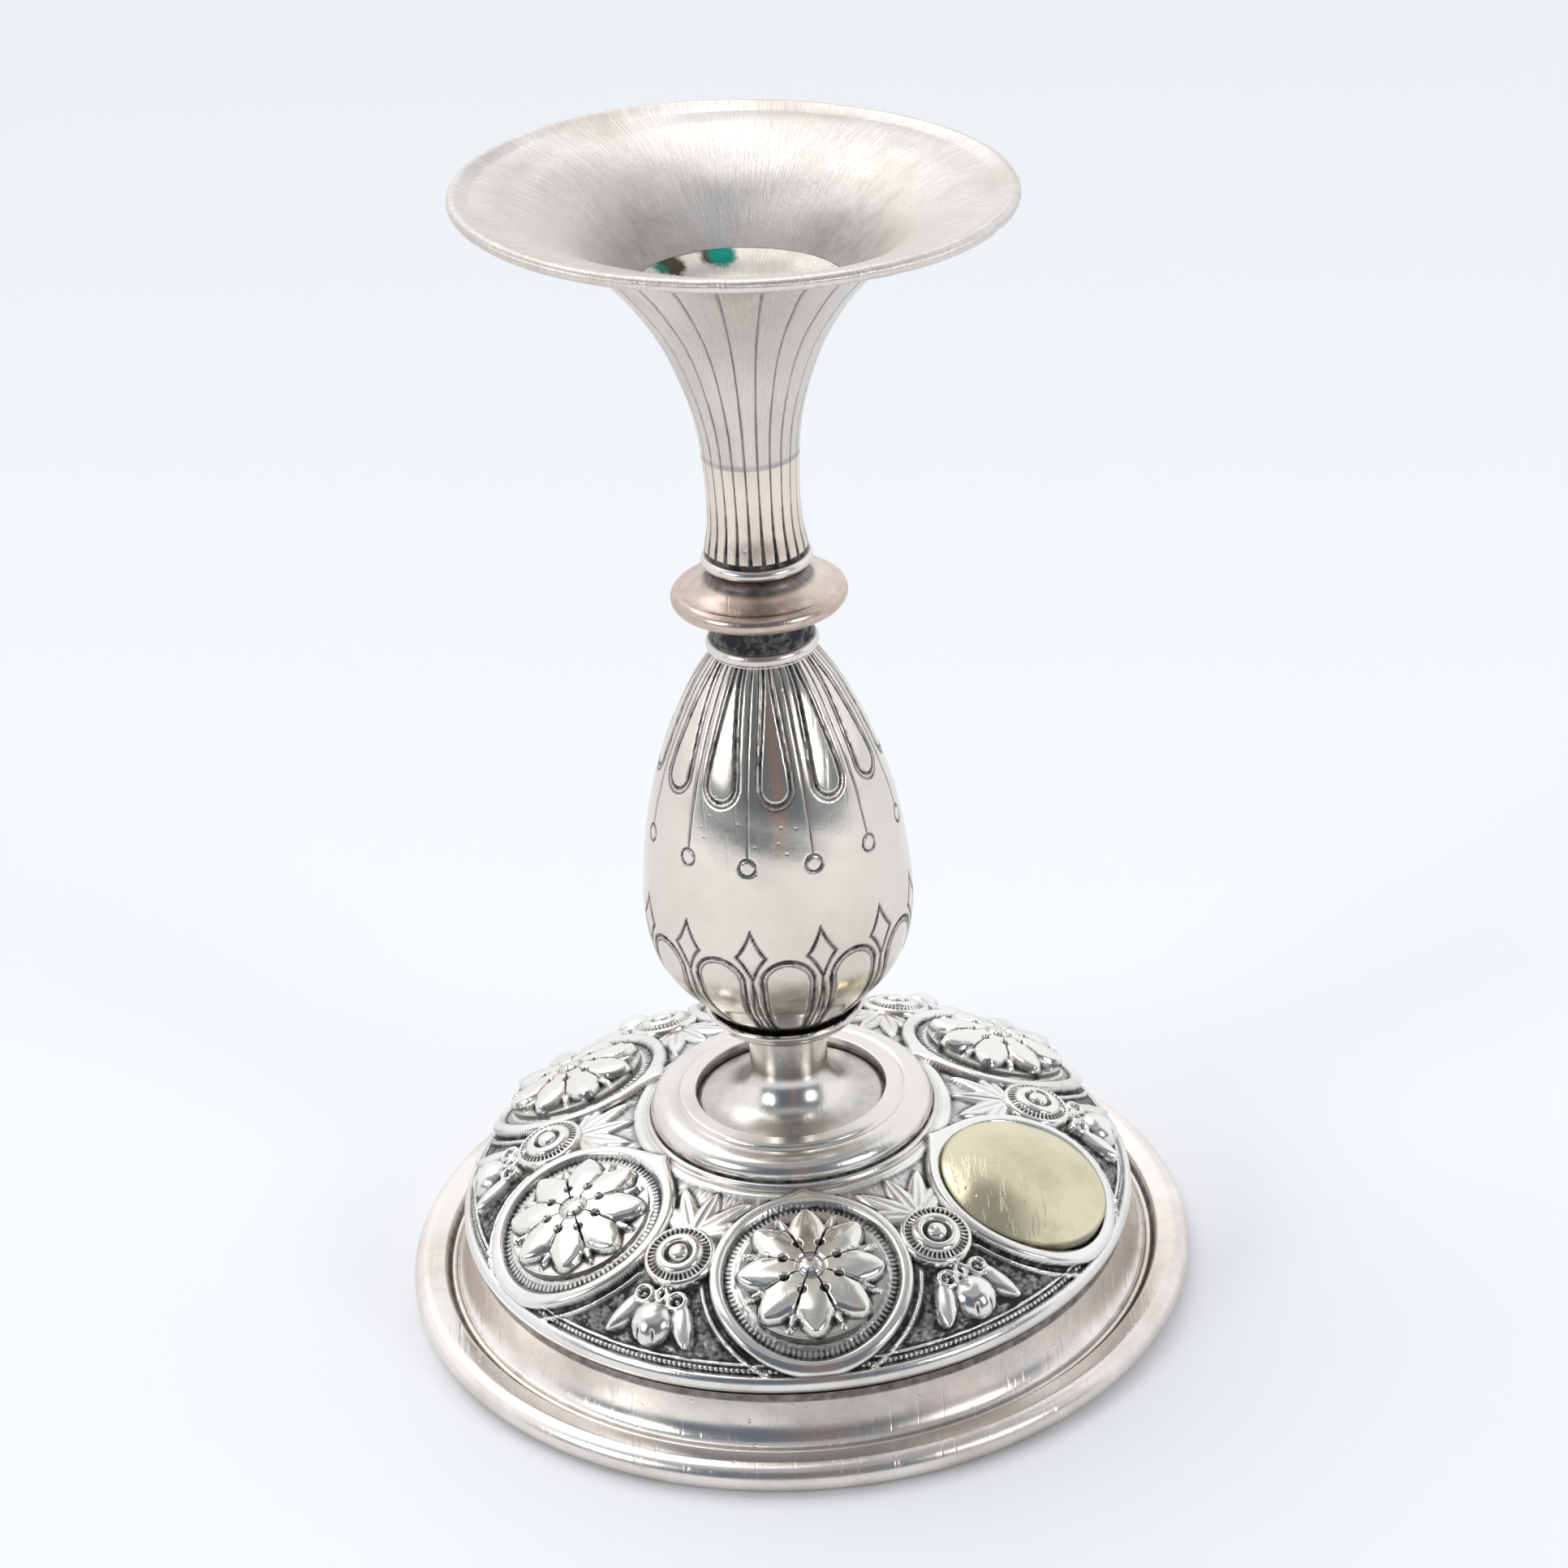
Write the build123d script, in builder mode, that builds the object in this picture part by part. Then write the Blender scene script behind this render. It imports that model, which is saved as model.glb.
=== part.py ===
# Altar candlestick in silvered metal: raised, spun and turned pieces threaded on one iron tie rod,
# with a loose candle socket that lifts out of the drip dish.
# Millimetres, +Z up, origin at the centre of the foot's underside.
import os
from math import acos, cos, degrees, radians, sin, sqrt

from build123d import *

# ---- Driving dimensions ----------------------------------------------------------------------
# Foot ring
base_radius = 80.0
edge_height = 6.0
shelf_width = 3.6
shelf_fall = 0.5
groove_width = 1.2
groove_depth = 1.3
cove_rise = 10.0
foot_wall = 1.4
collar_height = 2.0
collar_wall = 1.2

# Chased dome
dome_radius = 67.8
dome_rise = 22.3
dome_overhang = 0.5
dome_lip = 1.2
dome_wall = 1.2
dome_hole_radius = 12.0

# Ornaments on the dome: five rosettes and one plain gilt plate, with a stud between each pair
medallion_count = 6
medallion_ring_radius = 51.0
medallion_turn = -88.0
gilt_place = 1
rosette_radius = 14.3
petal_count = 8
petal_length = 9.6
petal_width = 8.2
petal_thickness = 1.3
rosette_body_height = 2.0
rosette_body_taper = 6.0
button_radius = 2.0
button_height = 0.7
plate_radius = 16.6
plate_height = 2.2
plate_edge = 0.6
stud_ring_radius = 49.5
stud_radius = 7.0
stud_height = 1.6
stud_edge = 0.4
stud_taper = 30.0
stud_boss_radius = 2.4
stud_boss_height = 1.2
stud_boss_taper = 25.0
ornament_bed = 3.0

# Moulding round the dome's crown
ring_outer_radius = 29.7
ring_step = 1.1
ring_step_height = 1.6
ring_flat_radius = 22.3
ring_inner_radius = 19.2
ring_height = 3.3

# Stem foot with its dish
dish_height = 1.2
flare_radius = 16.3
flare_height = 8.6
neck_radius = 7.8
neck_top = 19.3
foot_spigot_wall = 2.9
foot_spigot_depth = 5.5
foot_hollow_depth = 4.5

# Cup under the bulb
cup_height = 4.6
cup_foot_radius = 8.3
cup_lip_radius = 16.0
cup_lip_drop = 0.8
cup_lip_stand = 0.2
cup_seat_radius = 14.2
spigot_radius = 5.5
spigot_height = 3.0

# Egg-shaped bulb, two raised halves
egg_radius = 26.45
egg_bottom_radius = 13.6
egg_top_radius = 9.6
egg_lower_height = 26.4
egg_upper_height = 51.4
egg_wall = 1.3
egg_floor = 2.4
egg_lap_height = 3.0
egg_lap_wall = 1.0

# Spool, knop and collar
spool_radius = 10.2
spool_lip_radius = 10.8
spool_lip_height = 2.8
spool_height = 9.5
spool_spigot_depth = 3.0
knop_radius = 16.8
knop_edge_radius = 1.8
knop_waist_radius = 9.8
knop_scotia_depth = 0.5
knop_height = 8.1
knop_shoulder_radius = 10.5
knop_shoulder_height = 5.3
knop_spigot_height = 5.5
collar_ring_radius = 10.6
collar_ring_height = 2.4

# Fluted neck and trumpet dish
tube_foot_radius = 10.1
tube_waist_radius = 8.75
tube_waist_height = 9.5
tube_height = 19.6
tube_bore_radius = 7.6
seam_radius = 9.15
dish_wall = 1.0
rim_radius = 51.2
rim_edge = 2.5
dish_rise = 51.8

# Loose candle socket
candle_bore_radius = 11.25
socket_wall = 0.6
socket_bore_depth = 10.8
socket_floor = 0.8
socket_lip_rise = 4.7
socket_lip_wall = 0.8

# Iron tie rod and its fittings
rod_radius = 3.0
rod_head_radius = 5.2
rod_head_height = 3.0
throat_washer_radius = 8.8
throat_washer_height = 1.5
clamp_radius = 20.5
clamp_height = 9.0
clamp_wall = 2.0
washer_radius = 8.0
washer_height = 1.6
nut_flats = 10.0
nut_height = 5.0
rod_tail = 5.0
slot_width = 1.2
slot_depth = 1.0

# Clearances
collar_gap = 0.15
spigot_gap = 0.1
rod_gap = 0.3
socket_gap = 0.2
clamp_gap = 0.05
throat_gap = 0.05
thread_gap = 0.02

# ---- Heights and radii that follow from them ---------------------------------------------------
shelf_radius = base_radius - edge_height / 2 - shelf_width
tray_radius = shelf_radius - groove_width
tray_height = edge_height - shelf_fall - groove_depth
cove_top = tray_height + cove_rise
cove_radius = dome_radius - dome_overhang
cove_width = tray_radius - cove_radius
dome_base = cove_top + dome_lip
dome_inner_radius = dome_radius - dome_wall
dome_inner_rise = dome_rise - dome_wall
dome_apex = dome_base + dome_rise
collar_radius = dome_inner_radius - collar_gap
ring_top = dome_apex + ring_height
dish_top = dome_apex + dish_height
neck_height = dome_apex + neck_top
cup_top = neck_height + cup_height
egg_girth = cup_top + egg_lower_height
egg_top = egg_girth + egg_upper_height
spool_top = egg_top + spool_height
knop_top = spool_top + knop_height
collar_top = knop_top + collar_ring_height
seam_height = collar_top + tube_height
rim_top = seam_height + dish_rise
rod_hole_radius = rod_radius + rod_gap
mirror_turn = medallion_turn + gilt_place * 360 / medallion_count


def dome_height(radius):
    """Height of the dome's outer face above the floor, at a radius."""
    return dome_base + dome_rise * sqrt(1 - (radius / dome_radius) ** 2)


def dome_plane(radius, turn):
    """Plane tangent to the dome at a radius and an angle, its Z axis pointing out."""
    out_x, out_y = cos(radians(turn)), sin(radians(turn))
    height = dome_height(radius)
    normal_r = radius / dome_radius**2
    normal_z = (height - dome_base) / dome_rise**2
    return Plane(
        origin=(radius * out_x, radius * out_y, height),
        x_dir=(-out_y, out_x, 0),
        z_dir=(normal_r * out_x, normal_r * out_y, normal_z),
    )


def inner_wall(edge, wall, steps=800):
    """Points (radius, height) one wall to the left of a profile edge, from its start to its end."""
    points = []
    for step in range(steps + 1):
        place, along = edge @ (step / steps), edge % (step / steps)
        points.append((place.X - wall * along.Y, place.Y + wall * along.X))
    return points


# ---- Solids that shape their neighbours ----------------------------------------------------------
# Space under the dome's outer face, cut from all that sits on it.
with BuildPart() as dome_envelope:
    with BuildSketch(Plane.XZ):
        with BuildLine():
            EllipticalCenterArc((0, dome_base), dome_radius, dome_rise, arc_size=90)
            Polyline((0, dome_apex), (0, 0), (dome_radius, 0), (dome_radius, dome_base))
        make_face()
    revolve(axis=Axis.Z)

# Hollow under the dome's inner face.
with BuildPart() as dome_hollow:
    with BuildSketch(Plane.XZ):
        with BuildLine():
            EllipticalCenterArc((0, dome_base), dome_inner_radius, dome_inner_rise, arc_size=90)
            Polyline(
                (0, dome_base + dome_inner_rise),
                (0, 0),
                (dome_inner_radius, 0),
                (dome_inner_radius, dome_base),
            )
        make_face()
    revolve(axis=Axis.Z)

# ---- Foot ring: rounded edge, shelf, groove and a cove that rises to the dome --------------------
with BuildPart() as foot_ring:
    edge_radius = edge_height / 2
    collar_bore = collar_radius - collar_wall
    with BuildSketch(Plane.XZ):
        with BuildLine():
            Line((tray_radius, 0), (base_radius - edge_radius, 0))
            ThreePointArc(
                (base_radius - edge_radius, 0),
                (base_radius, edge_radius),
                (base_radius - edge_radius, edge_height),
            )
            Polyline(
                (base_radius - edge_radius, edge_height),
                (shelf_radius, edge_height - shelf_fall),
                (shelf_radius - groove_width / 3, tray_height),
                (tray_radius, tray_height),
            )
            EllipticalCenterArc(
                (tray_radius, cove_top), cove_width, cove_rise, start_angle=270, arc_size=-90
            )
            Polyline(
                (cove_radius, cove_top),
                (collar_radius, cove_top),
                (collar_radius, cove_top + collar_height),
                (collar_bore, cove_top + collar_height),
                (collar_bore, cove_top),
            )
            EllipticalCenterArc(
                (tray_radius, cove_top),
                tray_radius - collar_bore,
                cove_rise + foot_wall,
                start_angle=180,
                arc_size=90,
            )
            Line((tray_radius, tray_height - foot_wall), (tray_radius, 0))
        make_face()
    revolve(axis=Axis.Z)

# ---- Dome: one raised shell with a hole at its crown ---------------------------------------------
with BuildPart() as dome:
    outer_end = degrees(acos(dome_hole_radius / dome_radius))
    inner_end = degrees(acos(dome_hole_radius / dome_inner_radius))
    with BuildSketch(Plane.XZ):
        with BuildLine():
            outer = EllipticalCenterArc((0, dome_base), dome_radius, dome_rise, arc_size=outer_end)
            inner = EllipticalCenterArc(
                (0, dome_base), dome_inner_radius, dome_inner_rise, arc_size=inner_end
            )
            Line(outer @ 1, inner @ 1)
            Polyline(inner @ 0, (dome_inner_radius, cove_top), (cove_radius, cove_top), outer @ 0)
        make_face()
    revolve(axis=Axis.Z)

# ---- Ornaments -----------------------------------------------------------------------------------
rosettes = []
for place in range(medallion_count):
    if place == gilt_place:
        continue
    seat = dome_plane(medallion_ring_radius, medallion_turn + place * 360 / medallion_count)
    with BuildPart() as rosette:
        with BuildSketch(seat.offset(-ornament_bed)):
            Circle(rosette_radius - petal_length / 2)
        extrude(amount=ornament_bed + rosette_body_height, taper=rosette_body_taper)
        with BuildSketch(seat.offset(-ornament_bed)):
            with PolarLocations(rosette_radius - petal_length / 2, petal_count):
                Ellipse(petal_length / 2, petal_width / 2)
        extrude(amount=ornament_bed + petal_thickness)
        with BuildSketch(seat.offset(rosette_body_height)):
            Circle(button_radius)
        extrude(amount=button_height)
        add(dome_envelope.part, mode=Mode.SUBTRACT)
    rosettes.append(rosette.part)

with BuildPart() as gilt_plate:
    seat = dome_plane(medallion_ring_radius, mirror_turn)
    with BuildSketch(seat.offset(-ornament_bed)):
        Circle(plate_radius)
    extrude(amount=ornament_bed + plate_edge)
    cap_radius = (plate_radius**2 + (plate_height - plate_edge) ** 2) / (2 * (plate_height - plate_edge))
    with BuildSketch(Plane(origin=seat.origin, x_dir=seat.x_dir, z_dir=-seat.y_dir)):
        with BuildLine():
            Line((0, 0), (plate_radius, 0))
            Line((plate_radius, 0), (plate_radius, plate_edge))
            RadiusArc((plate_radius, plate_edge), (0, plate_height), -cap_radius)
            Line((0, plate_height), (0, 0))
        make_face()
    revolve(axis=Axis(seat.origin, seat.z_dir))
    add(dome_envelope.part, mode=Mode.SUBTRACT)

studs = []
for place in range(medallion_count):
    turn = medallion_turn + (place + 0.5) * 360 / medallion_count
    seat = dome_plane(stud_ring_radius, turn)
    with BuildPart() as stud:
        with BuildSketch(seat.offset(-ornament_bed)):
            Circle(stud_radius)
        extrude(amount=ornament_bed + stud_height / 2)
        with BuildSketch(seat.offset(stud_height / 2)):
            Circle(stud_radius - stud_edge)
        extrude(amount=stud_height / 2, taper=stud_taper)
        with BuildSketch(seat.offset(stud_height)):
            Circle(stud_boss_radius)
        extrude(amount=stud_boss_height, taper=stud_boss_taper)
        add(dome_envelope.part, mode=Mode.SUBTRACT)
    studs.append(stud.part)

# ---- Crown moulding: flat ring, rounded side and a low step --------------------------------------
with BuildPart() as crown_ring:
    side_radius = ring_outer_radius - ring_step
    side_height = dome_height(ring_outer_radius) + ring_step_height
    with BuildSketch(Plane.XZ):
        with BuildLine():
            EllipticalCenterArc(
                (ring_flat_radius, side_height),
                side_radius - ring_flat_radius,
                ring_top - side_height,
                arc_size=90,
            )
            Polyline(
                (ring_flat_radius, ring_top),
                (ring_inner_radius, ring_top),
                (ring_inner_radius, dome_base),
                (ring_outer_radius, dome_base),
                (ring_outer_radius, side_height - ring_step_height / 2),
                (side_radius, side_height - ring_step_height / 2),
                (side_radius, side_height),
            )
        make_face()
    revolve(axis=Axis.Z)
    add(dome_envelope.part, mode=Mode.SUBTRACT)

# ---- Stem foot: dish, flare and neck, with a spigot through the crown of the dome ----------------
with BuildPart() as stem_foot:
    dish_radius = ring_inner_radius - spigot_gap
    foot_spigot_radius = dome_hole_radius - spigot_gap
    foot_bore = foot_spigot_radius - foot_spigot_wall
    with BuildSketch(Plane.XZ):
        with BuildLine():
            EllipticalCenterArc(
                (flare_radius, dish_top + flare_height),
                flare_radius - neck_radius,
                flare_height,
                start_angle=180,
                arc_size=90,
            )
            Polyline(
                (neck_radius, dish_top + flare_height),
                (neck_radius, neck_height),
                (spigot_radius, neck_height),
                (spigot_radius, neck_height + spigot_height),
                (rod_hole_radius, neck_height + spigot_height),
                (rod_hole_radius, dome_base),
                (dish_radius, dome_base),
                (dish_radius, dish_top),
                (flare_radius, dish_top),
            )
        make_face()
    revolve(axis=Axis.Z)
    add(dome_envelope.part, mode=Mode.SUBTRACT)
    with BuildSketch(Plane.XY.offset(dome_apex - foot_spigot_depth)):
        Circle(foot_spigot_radius)
        Circle(rod_hole_radius, mode=Mode.SUBTRACT)
    extrude(amount=foot_spigot_depth)
    with BuildSketch(Plane.XY.offset(dome_apex - foot_spigot_depth)):
        Circle(foot_bore)
    extrude(amount=foot_hollow_depth, mode=Mode.SUBTRACT)

# ---- Cup under the bulb --------------------------------------------------------------------------
with BuildPart() as bulb_cup:
    cup_bore = spigot_radius + spigot_gap
    lip_height = cup_top - cup_lip_drop
    lip_top = cup_top + cup_lip_stand
    lip_inner_radius = (cup_lip_radius + cup_seat_radius) / 2
    with BuildSketch(Plane.XZ):
        with BuildLine():
            Polyline((cup_bore, cup_top), (cup_bore, neck_height), (cup_foot_radius, neck_height))
            Spline((cup_foot_radius, neck_height), (cup_lip_radius, lip_height), tangents=[(1, 0.1), (0, 1)])
            Spline((cup_lip_radius, lip_height), (lip_inner_radius, lip_top), tangents=[(0, 1), (-1, 0)])
            Polyline((lip_inner_radius, lip_top), (cup_seat_radius, cup_top), (cup_bore, cup_top))
        make_face()
    revolve(axis=Axis.Z)

# ---- Bulb: two raised halves lapped at the girth -------------------------------------------------
# Outlines as (share of the way out to the girth, share of the half's height).
lower_outline = [(0.21, 0.09), (0.67, 0.35), (0.87, 0.52), (0.98, 0.76)]
upper_outline = [(0.96, 0.156), (0.775, 0.467), (0.416, 0.778)]


def lower_points(inset):
    """The lower half's outline, drawn in by a wall."""
    span = egg_radius - egg_bottom_radius
    return [
        (egg_bottom_radius + span * out - inset, cup_top + egg_lower_height * up) for out, up in lower_outline
    ]


def upper_points(inset):
    """The upper half's outline, drawn in by a wall."""
    span = egg_radius - egg_top_radius
    return [
        (egg_top_radius + span * out - inset, egg_girth + egg_upper_height * up) for out, up in upper_outline
    ]


with BuildPart() as bulb_lower:
    floor_height = cup_top + egg_floor
    lap_radius = egg_radius - egg_wall - spigot_gap
    with BuildSketch(Plane.XZ):
        with BuildLine():
            Spline(
                (egg_bottom_radius, cup_top),
                *lower_points(0),
                (egg_radius, egg_girth),
                tangents=[(1, 0.9), (0, 1)],
            )
            Polyline(
                (egg_radius, egg_girth),
                (lap_radius, egg_girth),
                (lap_radius, egg_girth + egg_lap_height),
                (lap_radius - egg_lap_wall, egg_girth + egg_lap_height),
                (lap_radius - egg_lap_wall, egg_girth),
            )
            Spline(
                (lap_radius - egg_lap_wall, egg_girth),
                *lower_points(egg_wall + egg_lap_wall)[:0:-1],
                (egg_bottom_radius, floor_height),
            )
            Polyline(
                (egg_bottom_radius, floor_height),
                (rod_hole_radius, floor_height),
                (rod_hole_radius, cup_top),
                (egg_bottom_radius, cup_top),
            )
        make_face()
    revolve(axis=Axis.Z)

with BuildPart() as bulb_upper:
    roof_height = egg_top - egg_floor
    with BuildSketch(Plane.XZ):
        with BuildLine():
            Spline(
                (egg_radius, egg_girth),
                *upper_points(0),
                (egg_top_radius, egg_top),
                tangents=[(0, 1), (-0.6, 1)],
            )
            Polyline(
                (egg_top_radius, egg_top),
                (spigot_radius + spigot_gap, egg_top),
                (spigot_radius + spigot_gap, roof_height),
                (egg_top_radius - egg_wall, roof_height),
            )
            Spline(
                (egg_top_radius - egg_wall, roof_height),
                *upper_points(egg_wall)[::-1],
                (egg_radius - egg_wall, egg_girth),
                tangents=[(0.6, -1), (0, -1)],
            )
            Line((egg_radius - egg_wall, egg_girth), (egg_radius, egg_girth))
        make_face()
    revolve(axis=Axis.Z)

# ---- Spool between bulb and knop -----------------------------------------------------------------
with BuildPart() as spool:
    with BuildSketch(Plane.XZ):
        with BuildLine():
            ThreePointArc(
                (spool_radius, egg_top),
                (spool_lip_radius, egg_top + spool_lip_height / 2),
                (spool_radius, egg_top + spool_lip_height),
            )
            Polyline(
                (spool_radius, egg_top + spool_lip_height),
                (spool_radius, spool_top),
                (spigot_radius, spool_top),
                (spigot_radius, spool_top + spigot_height),
                (rod_hole_radius, spool_top + spigot_height),
                (rod_hole_radius, egg_top - spool_spigot_depth),
                (spigot_radius, egg_top - spool_spigot_depth),
                (spigot_radius, egg_top),
                (spool_radius, egg_top),
            )
        make_face()
    revolve(axis=Axis.Z)

# ---- Knop: a disc with a rounded edge under a hollow waist ---------------------------------------
with BuildPart() as knop:
    disc_centre = spool_top + knop_edge_radius
    spigot_outer = tube_bore_radius - spigot_gap
    with BuildSketch(Plane.XZ):
        with BuildLine():
            ThreePointArc(
                (knop_radius - knop_edge_radius, spool_top),
                (knop_radius, disc_centre),
                (knop_radius - knop_edge_radius, spool_top + 2 * knop_edge_radius),
            )
            Line(
                (knop_radius - knop_edge_radius, spool_top + 2 * knop_edge_radius),
                (knop_shoulder_radius, spool_top + knop_shoulder_height),
            )
            ThreePointArc(
                (knop_shoulder_radius, spool_top + knop_shoulder_height),
                (knop_waist_radius - knop_scotia_depth, (spool_top + knop_shoulder_height + knop_top) / 2),
                (knop_waist_radius, knop_top),
            )
            Polyline(
                (knop_waist_radius, knop_top),
                (spigot_outer, knop_top),
                (spigot_outer, knop_top + knop_spigot_height),
                (rod_hole_radius, knop_top + knop_spigot_height),
                (rod_hole_radius, spool_top + spigot_height + spigot_gap),
                (spigot_radius + spigot_gap, spool_top + spigot_height + spigot_gap),
                (spigot_radius + spigot_gap, spool_top),
                (knop_radius - knop_edge_radius, spool_top),
            )
        make_face()
    revolve(axis=Axis.Z)

# ---- Rounded collar under the fluted neck --------------------------------------------------------
with BuildPart() as neck_collar:
    with BuildSketch(Plane.XZ):
        with BuildLine():
            ThreePointArc(
                (knop_waist_radius, knop_top),
                (collar_ring_radius, knop_top + collar_ring_height / 2),
                (tube_foot_radius, collar_top),
            )
            Polyline(
                (tube_foot_radius, collar_top),
                (tube_bore_radius, collar_top),
                (tube_bore_radius, knop_top),
                (knop_waist_radius, knop_top),
            )
        make_face()
    revolve(axis=Axis.Z)

# ---- Fluted neck tube ----------------------------------------------------------------------------
with BuildPart() as neck_tube:
    with BuildSketch(Plane.XZ):
        with BuildLine():
            Spline(
                (tube_foot_radius, collar_top),
                (tube_waist_radius, collar_top + tube_waist_height),
                (seam_radius, seam_height),
                tangents=[(-0.35, 1), (0.06, 1)],
            )
            Polyline(
                (seam_radius, seam_height),
                (tube_bore_radius, seam_height),
                (tube_bore_radius, collar_top),
                (tube_foot_radius, collar_top),
            )
        make_face()
    revolve(axis=Axis.Z)

# ---- Trumpet dish: flares from the seam to a thick rolled rim ------------------------------------
# Outline as (share of the way out to the rim, share of the dish's rise).
trumpet_outline = [(0.0157, 0.119), (0.076, 0.299), (0.167, 0.478), (0.318, 0.657), (0.6, 0.875)]

with BuildPart() as trumpet_dish:
    rim_line = rim_top - rim_edge / 2 - dish_wall / 2
    rim_reach = rim_radius - rim_edge / 2
    trumpet_points = [
        (seam_radius + (rim_reach - seam_radius) * out, seam_height + (rim_line - seam_height) * up)
        for out, up in trumpet_outline
    ]
    with BuildSketch(Plane.XZ):
        with BuildLine():
            trumpet_outer = Spline(
                (seam_radius, seam_height), *trumpet_points, (rim_reach, rim_line), tangents=[(0, 1), (1, 0)]
            )
            inner_points = inner_wall(trumpet_outer, dish_wall, steps=24)[::-1]
            trumpet_inner = Spline(*inner_points, tangents=[(-1, 0), (0, -1)])
            Line(trumpet_outer @ 1, trumpet_inner @ 0)
            Line(trumpet_inner @ 1, trumpet_outer @ 0)
        make_face()
    revolve(axis=Axis.Z)
    with BuildSketch(Plane.XZ):
        with Locations((rim_reach, rim_top - rim_edge / 2)):
            Circle(rim_edge / 2)
    revolve(axis=Axis.Z)

# ---- Loose candle socket: a tapered cup whose lip closes on the funnel ---------------------------
funnel = inner_wall(trumpet_outer, dish_wall)
socket_radius = candle_bore_radius + socket_wall
socket_toe_radius = socket_radius - socket_wall - socket_gap
bore_start = next(up for out, up in funnel if out >= socket_radius + socket_gap)
toe_height = next(up for out, up in funnel if out >= socket_toe_radius + socket_gap)
bore_top = bore_start + socket_bore_depth
socket_top = bore_top + socket_lip_rise
lip_edge = next(out for out, up in funnel if up >= socket_top - socket_lip_wall) - socket_gap

with BuildPart() as candle_socket:
    with BuildSketch(Plane.XZ):
        with BuildLine():
            Polyline(
                (0, toe_height),
                (socket_toe_radius, toe_height),
                (socket_radius, bore_start),
                (socket_radius, bore_top - socket_lip_wall / 2),
                (lip_edge, socket_top - socket_lip_wall),
                (lip_edge, socket_top),
                (candle_bore_radius, bore_top),
                (candle_bore_radius, bore_start),
                (socket_toe_radius - socket_wall, toe_height + socket_floor),
                (0, toe_height + socket_floor),
                (0, toe_height),
            )
        make_face()
    revolve(axis=Axis.Z)

# ---- Iron tie rod, its bearing washers and its nut -----------------------------------------------
throat_base = next(up for out, up in funnel if out >= throat_washer_radius + throat_gap)
rod_shoulder = throat_base + throat_washer_height
clamp_rim = dome_base + dome_inner_rise * sqrt(1 - (clamp_radius / dome_inner_radius) ** 2) - clamp_gap
clamp_base = clamp_rim - clamp_height
nut_top = clamp_base - washer_height
nut_base = nut_top - nut_height

with BuildPart() as throat_washer:
    with BuildSketch(Plane.XY.offset(throat_base)):
        Circle(throat_washer_radius)
        Circle(rod_hole_radius, mode=Mode.SUBTRACT)
    extrude(amount=throat_washer_height)

with BuildPart() as tie_rod:
    with BuildSketch(Plane.XY.offset(nut_base - rod_tail)):
        Circle(rod_radius)
    extrude(amount=rod_shoulder - nut_base + rod_tail)
    with BuildSketch(Plane.XY.offset(rod_shoulder)):
        Circle(rod_head_radius)
    extrude(amount=rod_head_height)
    with BuildSketch(Plane.XY.offset(rod_shoulder + rod_head_height)):
        Rectangle(2 * rod_head_radius, slot_width, rotation=mirror_turn)
    extrude(amount=-slot_depth, mode=Mode.SUBTRACT)

with BuildPart() as clamp_cup:
    with BuildSketch(Plane.XZ):
        with BuildLine():
            Polyline(
                (rod_hole_radius, clamp_base),
                (clamp_radius - clamp_height / 2, clamp_base),
                (clamp_radius, clamp_base + clamp_height / 2),
                (clamp_radius, clamp_rim + clamp_wall),
                (clamp_radius - clamp_wall, clamp_rim + clamp_wall),
                (clamp_radius - clamp_wall, clamp_base + clamp_height / 2 + clamp_wall / 2),
                (clamp_radius - clamp_height / 2 - clamp_wall / 2, clamp_base + clamp_wall),
                (rod_hole_radius, clamp_base + clamp_wall),
                (rod_hole_radius, clamp_base),
            )
        make_face()
    revolve(axis=Axis.Z)
    add(dome_hollow.part, mode=Mode.INTERSECT)

with BuildPart() as rod_washer:
    with BuildSketch(Plane.XY.offset(nut_top)):
        Circle(washer_radius)
        Circle(rod_hole_radius, mode=Mode.SUBTRACT)
    extrude(amount=washer_height)

with BuildPart() as rod_nut:
    with BuildSketch(Plane.XY.offset(nut_base)):
        RegularPolygon(nut_flats / 2, 6, major_radius=False, rotation=mirror_turn)
        Circle(rod_radius + thread_gap, mode=Mode.SUBTRACT)
    extrude(amount=nut_height)

# ---- Each piece is one node ----------------------------------------------------------------------
pieces = {
    "foot_ring": foot_ring.part,
    "dome": dome.part,
    "gilt_plate": gilt_plate.part,
    "crown_ring": crown_ring.part,
    "stem_foot": stem_foot.part,
    "bulb_cup": bulb_cup.part,
    "bulb_lower": bulb_lower.part,
    "bulb_upper": bulb_upper.part,
    "spool": spool.part,
    "knop": knop.part,
    "neck_collar": neck_collar.part,
    "neck_tube": neck_tube.part,
    "trumpet_dish": trumpet_dish.part,
    "candle_socket": candle_socket.part,
    "throat_washer": throat_washer.part,
    "tie_rod": tie_rod.part,
    "clamp_cup": clamp_cup.part,
    "rod_washer": rod_washer.part,
    "rod_nut": rod_nut.part,
}
for number, rosette_part in enumerate(rosettes, start=1):
    pieces[f"rosette_{number}"] = rosette_part
for number, stud_part in enumerate(studs, start=1):
    pieces[f"stud_{number}"] = stud_part

os.makedirs("parts", exist_ok=True)
for name, piece in pieces.items():
    piece.label = name
    export_step(piece, f"parts/{name}.step")

print("candle bore from", round(bore_start, 3), "to", round(bore_top, 3), "socket top", round(socket_top, 3))
print("lip edge", round(lip_edge, 3), "rim top", round(rim_top, 3), "nut base", round(nut_base, 3))
print("clamp base", round(clamp_base, 3), "rod end", round(nut_base - rod_tail, 3))
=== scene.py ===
# Looks of the altar candlestick: silvered metal with chased ornament, oxidised in its recesses.
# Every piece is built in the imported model's frame. Profile sizes are in millimetres.
from math import cos, pi, radians, sin

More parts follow.
